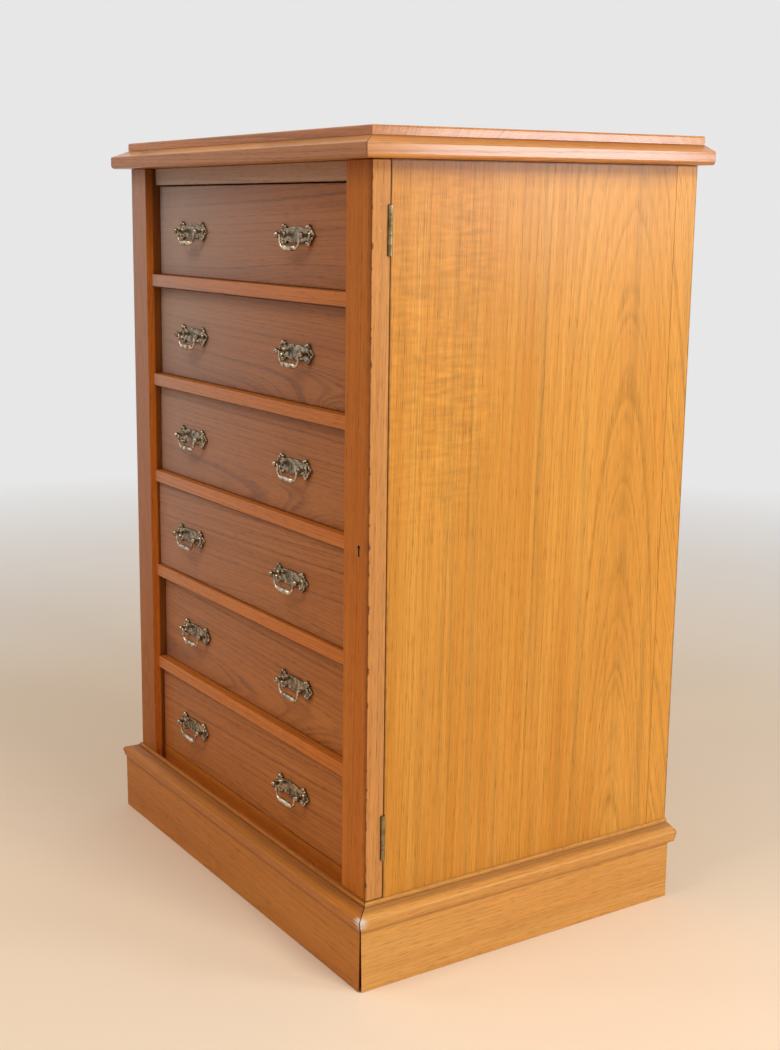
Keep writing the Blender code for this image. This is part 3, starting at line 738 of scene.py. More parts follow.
class WoodShading(Shading):
    """The material of one ash board: the log's pattern, the marks that use has left on it, and painted
    shade and sheen.
    """

    def __init__(self, name: str, cut: Cut, board: Box | None) -> None:
        """Finds where the surface lies in the chest and in the log, and which way it faces.

        Args:
            name: Name of the material.
            cut: How the board was sawn.
            board: Its box, or None for a piece with no broad faces.
        """
        super().__init__(name)
        self.cut = cut
        self.board = board
        self.point = self.place()
        self.parts = self.split(self.point)
        across_u, across_v, self.along = (self.parts[i] for i in cut.grain.value)
        across_u = self.math("SUBTRACT", across_u, cut.heart[0])
        across_v = self.math("SUBTRACT", across_v, cut.heart[1])
        self.log = self.join(across_u, across_v, self.along)
        self.directions = self.split(self.facing())
        self.front = self.turned_to(1, -1.0)
        self.right = self.turned_to(0, 1.0)
        self.fibres = self.noise(self.log, FIBRE_SCALE, 3.0)
        self.blotch = self.noise(self.point, BLOTCH_SCALE, 3.0)

    def turned_to(self, axis: int, sign: float, strength: float = 1.0) -> Socket:
        """The strength on faces that point along an axis (sign 1) or against it (sign -1)."""
        start, full = (sign * share for share in FACING)
        return self.remap(self.directions[axis], start, full, 0.0, strength)

    def rings(self, ring: float) -> Socket:
        """The early wood of the growth rings round the heart.

        Args:
            ring: Distance between rings.

        Returns:
            A share from 0 to 1.
        """
        cut = self.cut
        sway = self.noise(self.log, SWAY_SCALE, 2.0, cloud=True)
        sway = self.vector("SUBTRACT", sway, (0.5, 0.5, 0.5))
        sway = self.vector("MULTIPLY", sway, (cut.wander * 2, cut.wander * 2, 0.0))
        swayed = self.vector("MULTIPLY", self.vector("ADD", self.log, sway), (1.0, 1.0, 0.0))
        across = self.vector("LENGTH", swayed)
        radius = self.math("MULTIPLY_ADD", self.along, cut.taper, across)
        if cut.flame is not None:
            taper, start = cut.flame
            near = self.remap(across, *FLAME_REACH, taper, 0.0)
            radius = self.math("MULTIPLY_ADD", self.math("SUBTRACT", self.along, start), near, radius)
        if cut.swell is not None:
            radius = self.math("MULTIPLY_ADD", self.swelling(), SWELL_RINGS * ring, radius)
        years = self.series(radius, 0.4 / ring, 1.0)
        ripple = self.noise(self.log, RIPPLE_SCALE, 2.0)
        phase = self.math("MULTIPLY_ADD", radius, 1.0 / ring, self.math("MULTIPLY", years, 3.2))
        phase = self.math("MULTIPLY_ADD", ripple, 0.45, phase)
        vigour = self.remap(self.series(radius, 0.8 / ring, 0.0), 0.3, 0.7, 0.2, 1.0)
        return self.math("MULTIPLY", self.ramp(self.math("FRACT", phase), RING_STOPS), vigour)

    def swelling(self) -> Socket:
        """A hill in the log, drawn out along the grain, that the rings arch round.

        Returns:
            Its height, 1 in the middle.
        """
        steep = [SWELL_ACROSS] * 3
        steep[self.cut.grain.value[2]] = SWELL_ALONG
        away = self.vector("MULTIPLY", self.vector("SUBTRACT", self.point, self.cut.swell), steep)
        hill = self.remap(self.vector("LENGTH", away), 0.0, 1.0, 1.0, 0.0)
        return self.math("MULTIPLY", hill, hill)

    def figure(self) -> Socket:
        """Rippled figure in patches.

        Returns:
            A factor near 1 on the colour.
        """
        spot = self.cut.curl_place
        lengthened = self.vector("MULTIPLY", self.log, CURL_SCALE)
        ripple = self.noise(self.vector("ADD", lengthened, CURL_START), (1.0, 1.0, 1.0), 2.0)
        low, high = (0.48, 0.62) if spot is None else (0.30, 0.55)
        patch = self.remap(self.noise(self.log, PATCH_SCALE, 2.0), low, high, 0.0, self.cut.curl)
        if spot is not None:
            away = self.vector("MULTIPLY", self.vector("SUBTRACT", self.point, spot), CURL_SPREAD)
            near = self.remap(self.vector("LENGTH", away), *CURL_FADE, 1.0, 0.0)
            patch = self.math("MULTIPLY", patch, near)
        return self.math("MULTIPLY_ADD", self.remap(ripple, 0.3, 0.7, -1.0, 1.0), patch, 1.0)

    def bloom_and_sheen(self) -> Socket:
        """Grey clouding of the front's polish with a painted sheen, which grows upwards and to the
        left.

        Returns:
            A share from 0 to 1.
        """
        slope, start = (value * self.cut.bloom_and_sheen for value in BLOOM_AND_SHEEN_RISE)
        rise = self.math("MULTIPLY_ADD", self.parts[2], slope, start)
        fade = self.math("MULTIPLY_ADD", self.parts[0], *BLOOM_AND_SHEEN_FADE)
        share = self.math("MULTIPLY", rise, self.math("MULTIPLY", fade, fade), clamp=True)
        return self.math("MULTIPLY", share, self.front)

    def darkening(self, reach: float, strength: float) -> Iterator[Socket]:
        """Darkening under the board's top, along its edges, in its grooves, on its ledges and in its
        recesses: painted shade, with dirt and wear.

        Args:
            reach: How far the wear and painted shade along the edges reach inwards.
            strength: How strong it is.

        Yields:
            The share of each kind of darkening.
        """
        cut = self.cut
        if self.board is not None:
            top = self.board.high.z
            # Painted shadow under the board's top, on faces to the front and to the right
            for side, under in ((self.front, cut.painted_shadow_front), (self.right, cut.painted_shadow_right)):
                if under is not None:
                    share = self.remap(self.parts[2], top - under[1], top, 0.0, under[0])
                    yield self.math("MULTIPLY", share, side)
            # Wear with painted shade along the edges
            yield self.edge_wear_and_shade(reach, strength)
        if cut.arris is not None:
            yield self.worn_arris()
        # Painted shade with some dirt in grooves and under overhung edges
        for height in cut.shaded_seams:
            away = self.math("ABSOLUTE", self.math("SUBTRACT", self.parts[2], height))
            yield self.remap(away, SEAM_CORE, cut.seam_reach, cut.seam_strength, 0.0)
        # Painted shade on faces turned up
        if cut.painted_ledge_shade:
            yield self.turned_to(2, 1.0, cut.painted_ledge_shade)
        # Painted shade at the back of a recess, on faces to the right
        if cut.painted_recess_shade is not None:
            share, start = cut.painted_recess_shade
            deep = self.remap(self.parts[1], start, start + DEEP_REACH, 0.0, share)
            yield self.math("MULTIPLY", deep, self.right)

    def edge_wear_and_shade(self, reach: float, strength: float) -> Socket:
        """Wear along the edges of every face of the board, broken up by the blotches, with painted
        shade along the gaps between parts.

        Args:
            reach: How far it reaches inwards.
            strength: How strong it is.

        Returns:
            A share from 0 to 1.
        """
        near = []
        for part, low, high in zip(self.parts, self.board.low, self.board.high):
            from_low = self.math("SUBTRACT", part, low)
            from_high = self.math("SUBTRACT", high, part)
            near.append(self.math("MINIMUM", from_low, from_high))
        smaller = self.math("MINIMUM", near[0], near[1])
        larger = self.math("MAXIMUM", near[0], near[1])
        second = self.math("MAXIMUM", smaller, self.math("MINIMUM", larger, near[2]))
        ragged = self.math("MULTIPLY", self.blotch, 2 * reach)
        return self.remap(self.math("DIVIDE", second, ragged), 0.0, 1.0, strength, 0.0)

    def worn_arris(self) -> Socket:
        """Grime on the front that deepens towards an upright corner, and dark chips along the corner.

        Returns:
            A share from 0 to 1.
        """
        off_x = self.math("SUBTRACT", self.parts[0], self.cut.arris[0])
        off_y = self.math("SUBTRACT", self.parts[1], self.cut.arris[1])
        away = self.vector("LENGTH", self.join(off_x, off_y, 0.0))
        height = self.join(0.0, 0.0, self.parts[2])
        sway = self.noise(height, ARRIS_GRIME_SCALE, 4.0)
        sway = self.remap(sway, 0.3, 0.7, 5.0 * MM, 13.0 * MM)
        darkening = self.remap(self.math("DIVIDE", away, sway), 0.1, 1.0, 0.55, 0.0)
        darkening = self.math("MULTIPLY", darkening, self.front)
        chips = self.noise(height, ARRIS_CHIP_SCALE, 3.0)
        chips = self.remap(chips, 0.50, 0.68, 0.7 * MM, 5.0 * MM)
        chips = self.remap(self.math("DIVIDE", away, chips), 0.5, 1.0, 0.75, 0.0)
        return self.math("MAXIMUM", darkening, chips)

    def bruises(self) -> Iterator[Socket]:
        """Torn patches where the polish is lost.

        Yields:
            The share of each.
        """
        for centre, reach, strength in self.cut.bruises:
            away = self.vector("LENGTH", self.vector("SUBTRACT", self.point, centre))
            torn = self.math("MULTIPLY_ADD", self.fibres, 3.0 * reach, away)
            yield self.remap(torn, 1.9 * reach, 2.6 * reach, strength, 0.0)

    def specks(self) -> Socket:
        """Small dark marks in some cells of a scatter.

        Returns:
            A share from 0 to 1.
        """
        cells = self.add("ShaderNodeTexVoronoi", {"Vector": self.point, "Scale": SPECK_SCALE})
        chosen = self.math("LESS_THAN", self.split(cells.outputs["Color"])[0], self.cut.specks)
        near = self.remap(cells.outputs["Distance"], 0.02, 0.05, 0.9, 0.0)
        return self.math("MULTIPLY", chosen, near)


@dataclass(frozen=True)
class AshFinish:
    """Ash with porous growth rings, fine fibres, drifting tone and handled edges, with painted shade
    and sheen.

    Attributes:
        name: Name of the finish.
        pale: Colour of the late wood.
        warm: Colour that its tone drifts to.
        early: Colour of the porous early wood.
        pore: Colour of the open pores.
        edge: Colour along worn or dirty edges, and of the painted shade along gaps, under tops, in
            grooves and in recesses.
        ring: Distance between rings.
        early_strength: How strongly the early wood shows.
        pore_strength: How strongly the pores show.
        edge_reach: How far the edge colour reaches inwards.
        edge_strength: How strongly it shows.
        band_strength: How strongly broad dull bands show along the grain.
        front_stain_and_shade: Tint of the faces turned to the front, a stain with painted shade in it
            that darkens them against the sides, or None.
        roughness: Roughness between the pores.
        specular: Level of the wood's own reflection.
        coat: Weight of the polish over the wood.
        haze: Roughness of the polish.
    """

    name: str
    pale: Colour
    warm: Colour
    early: Colour
    pore: Colour
    edge: Colour
    ring: float = 0.0032
    early_strength: float = 0.65
    pore_strength: float = 0.55
    edge_reach: float = 0.006
    edge_strength: float = 0.5
    band_strength: float = 0.3
    front_stain_and_shade: Colour | None = None
    roughness: float = 0.38
    specular: float = 0.1
    coat: float = 0.2
    haze: float = 0.3

    def material(self, piece: str, cut: Cut, board: Box | None = None) -> Material:
        """The finish on one piece.

        Args:
            piece: Name of the piece.
            cut: How its board was sawn.
            board: Its box, for the edges, or None for a piece with no broad faces.

        Returns:
            The material.
        """
        wood = WoodShading(f"{piece}_{self.name}", cut, board)
        early = wood.rings(self.ring)
        pores = wood.remap(wood.noise(wood.log, PORE_SCALE, 1.0), 0.52, 0.68, 0.0, 1.0)
        pores = wood.math("MULTIPLY", pores, wood.math("MULTIPLY_ADD", early, 0.7, 0.3))
        colour = self.ground(wood, early, pores)
        for share, tint in self.marks(wood):
            colour = wood.mix(share, colour, tint)
        wood.set("Base Color", colour)
        self.polish(wood, pores)
        return wood.material

    def ground(self, wood: WoodShading, early: Socket, pores: Socket) -> Socket:
        """The colour of the stained wood, before anything marked it.

        Args:
            wood: The board's material.
            early: Share of early wood.
            pores: Share of open pores.

        Returns:
            The colour.
        """
        drift = wood.noise(wood.log, DRIFT_SCALE, 2.0)
        streaks = wood.noise(wood.log, STREAK_SCALE, 2.0)
        tone = wood.math("MULTIPLY_ADD", drift, 0.6, wood.math("MULTIPLY", streaks, 0.4))
        colour = wood.mix(wood.remap(tone, 0.36, 0.64, 0.0, 1.0), self.pale, self.warm)
        colour = wood.mix(wood.math("MULTIPLY", early, self.early_strength), colour, self.early)
        colour = wood.mix(wood.math("MULTIPLY", pores, self.pore_strength), colour, self.pore)
        dark, bright = (light * wood.cut.tone for light in FIBRE_LIGHT)
        light = wood.remap(wood.fibres, 0.25, 0.75, dark, bright)
        if wood.cut.curl:
            light = wood.math("MULTIPLY", light, wood.figure())
        colour = wood.mix(1.0, colour, wood.join(light, light, light), "MULTIPLY")
        bands = wood.noise(wood.log, BAND_SCALE, 2.0)
        bands = wood.remap(bands, 0.5, 0.66, 0.0, self.band_strength)
        colour = wood.mix(bands, colour, BAND_TINT, "MULTIPLY")
        # Faces turned to the front take a stain with painted shade in it
        if self.front_stain_and_shade is not None:
            colour = wood.mix(wood.front, colour, self.front_stain_and_shade, "MULTIPLY")
        return colour

    def marks(self, wood: WoodShading) -> Iterator[tuple[Socket, Colour]]:
        """What use has left on the board, with the painted shade and sheen, in the order that it lies
        over the wood.

        Args:
            wood: The board's material.

        Yields:
            The share of each mark, and its colour.
        """
        if wood.cut.bloom_and_sheen:
            yield wood.bloom_and_sheen(), BLOOM_AND_SHEEN
        for share in wood.darkening(self.edge_reach, self.edge_strength):
            yield share, self.edge
        for share in wood.bruises():
            yield share, BARE_WOOD
        if wood.cut.specks:
            yield wood.specks(), self.pore

    def polish(self, wood: WoodShading, pores: Socket) -> None:
        """Sets how the surface shines, and sinks its pores.

        Args:
            wood: The board's material.
            pores: Share of open pores.
        """
        rough = wood.math("MULTIPLY_ADD", pores, 0.18, self.roughness)
        cloudy = wood.math("SUBTRACT", wood.blotch, 0.5)
        wood.set("Roughness", wood.math("MULTIPLY_ADD", cloudy, 0.16, rough))
        wood.set("Coat Weight", self.coat)
        wood.set("Coat Roughness", self.haze)
        wood.set("Specular IOR Level", self.specular)
        depth = wood.math("MULTIPLY_ADD", pores, -1.0, wood.math("MULTIPLY", wood.fibres, 0.25))
        wood.relief(depth, 0.2, 0.4 * MM)


@dataclass(frozen=True)
class MetalFinish:
    """Old cast or rolled metal: tarnish in clouds over brighter rubbed metal.

    Attributes:
        name: Name of the finish.
        rubbed: Colour of the bright metal.
        tarnish: Colour of the tarnish.
        tarnished: Share of the surface that is tarnished, 0 to 1.
        grain: Clouds to the metre.
        roughness: Roughness of the bright metal.
    """

    name: str
    rubbed: Colour
    tarnish: Colour
    tarnished: float = 0.5
    grain: float = 260.0
    roughness: float = 0.28

    def material(self) -> Material:
        """The finish as a material.

        Returns:
            The material.
        """
        shade = Shading(self.name)
        place = shade.place()
        clouds = shade.noise(place, (self.grain,) * 3, 3.0)
        middle = 0.62 - 0.24 * self.tarnished
        patina = shade.remap(clouds, middle + 0.16, middle - 0.16, 0.0, 1.0)
        specks = shade.noise(place, (self.grain * 6,) * 3, 2.0)
        tint = shade.remap(specks, 0.3, 0.7, 0.85, 1.12)
        colour = shade.mix(patina, self.rubbed, self.tarnish)
        colour = shade.mix(1.0, colour, shade.join(tint, tint, tint), "MULTIPLY")
        shade.set("Base Color", colour)
        shade.set("Metallic", 1.0)
        rough = shade.math("MULTIPLY_ADD", patina, 0.18, self.roughness)
        shade.set("Roughness", shade.math("MULTIPLY_ADD", specks, 0.06, rough))
        shade.relief(shade.math("ADD", clouds, specks), 0.05, 0.0001)
        return shade.material


BARE_WOOD: Colour = (0.72, 0.62, 0.56)
BAND_TINT: Colour = (0.74, 0.82, 1.0)
# Grey of the clouded polish and of the painted sheen
BLOOM_AND_SHEEN: Colour = (0.42, 0.43, 0.43)
CASE_ASH = AshFinish(
    "honey_ash",
    pale=(0.76, 0.355, 0.060),
    warm=(0.66, 0.265, 0.032),
    early=(0.44, 0.190, 0.018),
    pore=(0.16, 0.055, 0.010),
    edge=(0.08, 0.027, 0.016),
    ring=0.0052,
    early_strength=0.46,
    pore_strength=0.5,
    # Dark edges: wear, with painted shade along the gap at the panel's foot
    edge_reach=0.0026,
    edge_strength=0.75,
    band_strength=0.45,
)
# The plinth's sides paler and greyer: painted sheen
PLINTH_SHEENED_ASH = replace(
    CASE_ASH,
    name="sheened_straw_ash",
    pale=(0.76, 0.395, 0.110),
    warm=(0.67, 0.305, 0.070),
    edge=(0.12, 0.045, 0.022),
    ring=0.0026,
    early_strength=0.2,
    edge_reach=0.004,
    edge_strength=0.5,
    band_strength=0.2,
)
# The plinth's front darker and redder: painted shade
PLINTH_SHADED_FRONT_ASH = replace(
    PLINTH_SHEENED_ASH,
    name="shaded_toffee_ash",
    pale=(0.575, 0.205, 0.028),
    warm=(0.49, 0.152, 0.017),
    early=(0.29, 0.086, 0.008),
)
TOP_ASH = AshFinish(
    "tea_ash",
    pale=(0.72, 0.310, 0.078),
    warm=(0.60, 0.225, 0.050),
    early=(0.32, 0.115, 0.025),
    pore=(0.13, 0.050, 0.018),
    edge=(0.16, 0.060, 0.020),
    early_strength=0.6,
    edge_strength=0.2,
    # Front faces darker: stain with painted shade
    front_stain_and_shade=(0.74, 0.63, 0.55),
    specular=0.2,
    coat=0.4,
    haze=0.16,
)
FRAME_ASH = AshFinish(
    "amber_ash",
    pale=(0.71, 0.335, 0.105),
    warm=(0.62, 0.262, 0.072),
    early=(0.42, 0.160, 0.040),
    pore=(0.14, 0.044, 0.014),
    edge=(0.060, 0.022, 0.010),
    ring=0.0030,
    early_strength=0.45,
    edge_reach=0.0016,
    # Front faces redder and darker: stain with painted shade
    front_stain_and_shade=(0.87, 0.57, 0.22),
    specular=0.05,
    coat=0.1,
)
# The frame's wood with the front's stain and painted shade in its colour, for pieces seen from the
# front
STAIN_AND_SHADE_ASH = replace(
    FRAME_ASH,
    name="umber_shaded_ash",
    pale=(0.63, 0.190, 0.024),
    warm=(0.55, 0.148, 0.017),
    early=(0.36, 0.090, 0.011),
    pore=(0.13, 0.030, 0.006),
    front_stain_and_shade=None,
)
# The pilaster's front darkened evenly: painted shade
POST_ASH = replace(STAIN_AND_SHADE_ASH, name="umber_post_ash", front_stain_and_shade=(0.54, 0.54, 0.55))
# Greyer wood for the rail: painted sheen, and painted shade under the top
RAIL_SHEEN_AND_SHADE_ASH = replace(
    STAIN_AND_SHADE_ASH,
    name="rail_sheen_and_shade_ash",
    pale=(0.53, 0.29, 0.165),
    warm=(0.475, 0.25, 0.135),
    early=(0.34, 0.165, 0.08),
)
DRAWER_ASH = AshFinish(
    "russet_ash",
    pale=(0.50, 0.165, 0.030),
    warm=(0.42, 0.126, 0.022),
    early=(0.22, 0.056, 0.009),
    pore=(0.08, 0.022, 0.007),
    edge=(0.03, 0.010, 0.006),
    ring=0.0036,
    early_strength=0.6,
    pore_strength=0.65,
    # Dark edges: wear, with painted shade along the gaps round the drawer
    edge_reach=0.0022,
    edge_strength=0.8,
    band_strength=0.2,
    specular=0.05,
    coat=0.12,
)
LINING = AshFinish(
    "bare_lining",
    pale=(0.64, 0.44, 0.22),
    warm=(0.56, 0.36, 0.16),
    early=(0.44, 0.27, 0.11),
    pore=(0.28, 0.16, 0.07),
    edge=(0.30, 0.19, 0.10),
    ring=0.0055,
    early_strength=0.45,
    pore_strength=0.3,
    roughness=0.62,
    coat=0.0,
)
HANDLE_BRASS = MetalFinish("antique_brass", (0.46, 0.36, 0.24), (0.042, 0.030, 0.021), 0.6, 190.0, 0.16)
BAIL_BRASS = MetalFinish("rubbed_brass", (0.84, 0.70, 0.53), (0.17, 0.12, 0.08), 0.38, 150.0, 0.2)
HINGE_BRASS = MetalFinish("aged_brass", (0.36, 0.28, 0.14), (0.16, 0.12, 0.065), 0.55, 60.0, 0.3)
LOCK_IRON = MetalFinish("lock_iron", (0.36, 0.34, 0.31), (0.12, 0.10, 0.085), 0.5, 120.0, 0.35)


# The chest's main planes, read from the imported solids


@dataclass(frozen=True)
class Planes:
    """Places and sizes that several sub-assemblies share."""

    side: Box = field(default_factory=lambda: Box.of("side_right"))
    flap: Box = field(default_factory=lambda: Box.of("flap"))
    pilaster: Box = field(default_factory=lambda: Box.of("left_pilaster"))
    rail: Box = field(default_factory=lambda: Box.of("top_rail"))
    leaf_recess: float = 1.9 * MM

    @property
    def half_width(self) -> float:
        """Outer face of the case."""
        return self.side.high.x

    @property
    def front(self) -> float:
        """Front of the pilaster and the flap."""
        return self.pilaster.low.y


@dataclass
class MitredWork:
    """Three lengths of one section, round the front and the two sides of the case.

    Attributes:
        planes: The chest's main planes.
        profile: The section as (distance out from the case, height).
        level: Height that the mitres are set out at.
        gap: Width of the open mitres there.
        lean: How fast they close upwards.
    """

    planes: Planes
    profile: Sequence[Pair]
    level: float
    gap: float
    lean: float = 0.0

    def lengths(self, names: Sequence[str], boxes: Sequence[Box]) -> list[Solid]:
        """Draws the three lengths and trims them to their mitres.

        Args:
            names: Names of the front, left and right lengths.
            boxes: The boxes whose ends they end at.

        Returns:
            The lengths, in the same order.
        """
        planes = self.planes
        section = [(planes.front - out, z) for out, z in self.profile]
        front = bar(names[0], section, 0, boxes[0].low.x, boxes[0].high.x)
        lengths = [front]
        for side, name, box in zip((-1, 1), names[1:], boxes[1:]):
            corner = Vector((side * planes.half_width, planes.front, self.level))
            shift = Vector((side, 1.0, 0.0)).normalized() * self.gap / 2
            trim(front, corner - shift, (side, 1.0, -self.lean))
            section = [(side * (planes.half_width + out), z) for out, z in self.profile]
            if side < 0:
                section.reverse()
            length = bar(name, section, 1, box.low.y, box.high.y)
            trim(length, corner + shift, (-side, -1.0, -self.lean))
            lengths.append(length)
        return lengths


@dataclass
class TopWork:
    """The top board and the moulding under it, in three mitred lengths."""

    planes: Planes
    slab_rounding: float = 2.5 * MM
    score_inset: float = 30 * MM
    projection: float = 23.8 * MM
    face: float = 18.5 * MM
    lower_rounding: float = 5.0 * MM
    arris: float = 2.0 * MM
    mitre_gap: float = 0.9 * MM
    inner_reach: float = 46 * MM

    def build(self) -> None:
        """Makes the board and the three lengths of moulding."""
        self.slab()
        self.moulding()

    def slab(self) -> None:
        """The top board, rounded along three upper edges."""
        box = Box.of("top_board")
        obj = block("top_board_polished", box.low, box.high)

        def upper(a: Vector, b: Vector) -> bool:
            """True for the upper edges at the front and the ends."""
            on_top = min(a.z, b.z) > box.high.z - FIT
            return on_top and min(a.y, b.y) < box.high.y - FIT

        round_edges(obj, self.slab_rounding, 5, upper)
        score(obj, 0, [box.low.x + self.score_inset, box.high.x - self.score_inset])
        cut = Cut(Grain.X, heart=(box.middle.y + 0.03, box.high.z - 0.14), curl=0.03)
        fit(obj, "case", Slot.CASE, TOP_ASH.material("top_board", cut, box), "top_board")

    def profile(self, box: Box) -> list[Pair]:
        """The moulding's section, from its lower inner corner round.

        Args:
            box: The moulding's box.

        Returns:
            (distance out from the case, height) points.
        """
        out, low, high = self.projection, box.low.z, box.high.z
        lower, upper = self.lower_rounding, self.arris
        return [
            (-self.inner_reach, low),
            *arc((out - lower, low + lower), lower, -90, 0, 8),
            *arc((out - upper, low + self.face - upper), upper, 0, 72, 5),
            (Box.of("top_board").high.x - self.planes.half_width, high),
            (-self.inner_reach, high),
        ]

    def moulding(self) -> None:
        """Front, left and right lengths, with a fine mitre between them."""
        planes, box = self.planes, Box.of("top_moulding")
        names = [f"top_moulding_{place}" for place in ("front", "left", "right")]
        cuts = [Cut(Grain.X, heart=(planes.front + 0.02, box.low.z - 0.06), tone=0.84)]
        for side in (-1, 1):
            heart = (side * (planes.half_width - 0.04), box.low.z + 0.10)
            cuts.append(Cut(Grain.Y, heart, tone=0.93))
        work = MitredWork(planes, self.profile(box), box.middle.z, self.mitre_gap)
        for name, obj, cut in zip(names, work.lengths(names, [box] * 3), cuts):
            fit(obj, "case", Slot.CASE, TOP_ASH.material(name, cut), "top_moulding")


@dataclass
class Plinth:
    """Three mitred boards with the plinth moulding worked along their top."""

    planes: Planes
    projection: float = 21.2 * MM
    inner: float = 0.3 * MM
    face: float = 84.0 * MM
    cove: float = 5.0 * MM
    nose: float = 25.4 * MM
    nose_height: float = 98.5 * MM
    nose_radius: float = 4.2 * MM
    fillet: float = 4.3 * MM
    fillet_height: float = 5.0 * MM
    quirk: float = 1.2 * MM
    mitre_gap: float = 1.4 * MM
    mitre_lean: float = 0.02
    relief: float = 13 * MM
    bruise: float = 12.0 * MM

    def profile(self) -> list[Pair]:
        """The section, from the inner foot round.

        Returns:
            (distance out from the case, height) points.
        """
        top = Box.of("plinth_front").high.z
        fillet_z = top - self.fillet_height
        nose = (self.nose - self.nose_radius, self.nose_height)
        cove = (self.projection + self.cove, self.face + 1.2 * MM)
        return [
            (self.inner, 0.0),
            (self.projection - 0.6 * MM, 0.0),
            (self.projection, 0.8 * MM),
            (self.projection, self.face - 2.5 * MM),
            *arc(cove, self.cove, 180, 128, 5),
            *arc(nose, self.nose_radius, -35, 74, 9),
            (self.fillet + 2.2 * self.quirk, fillet_z - 0.2 * self.quirk),
            (self.fillet + self.quirk, fillet_z - 1.2 * self.quirk),
            (self.fillet, fillet_z - self.quirk),
            (self.fillet, top - 1.6 * MM),
            (self.fillet - 1.0 * MM, top - 0.6 * MM),
            (self.inner, top),
        ]

    def build(self) -> None:
        """Makes the three boards, with the bruised corner where the front meets the right one."""
        planes, sides = self.planes, {"plinth_left": -1, "plinth_right": 1}
        nodes = ["plinth_front", *sides]
        boxes = [Box.of(node) for node in nodes]
        work = MitredWork(planes, self.profile(), self.nose_height, self.mitre_gap, self.mitre_lean)
        boards = work.lengths([node + "_board" for node in nodes], boxes)
        corner = (planes.half_width + self.nose, planes.front - self.nose, self.nose_height)
        for node, box, board in zip(nodes, boxes, boards):
            if node in sides:
                low = (box.low.x - PAST, box.high.y - self.relief, -PAST)
                high = (box.high.x + PAST, box.high.y + PAST, self.face)
                carve(board, block("relief", low, high))
                heart = (sides[node] * (planes.half_width - 0.03), 0.15)
                finish, grain = PLINTH_SHEENED_ASH, Grain.Y
            else:
                heart = (planes.front + 0.05, 0.02)
                finish, grain = PLINTH_SHADED_FRONT_ASH, Grain.X
            cut = Cut(
                grain,
                heart,
                taper=0.02,
                bruises=() if node == "plinth_left" else ((corner, self.bruise, 0.95),),
                # Painted shade with some dirt under the nose and in the quirk
                shaded_seams=(self.face, box.high.z - self.fillet_height - self.quirk),
            )
            fit(board, "case", Slot.CASE, finish.material(node, cut, box), node)


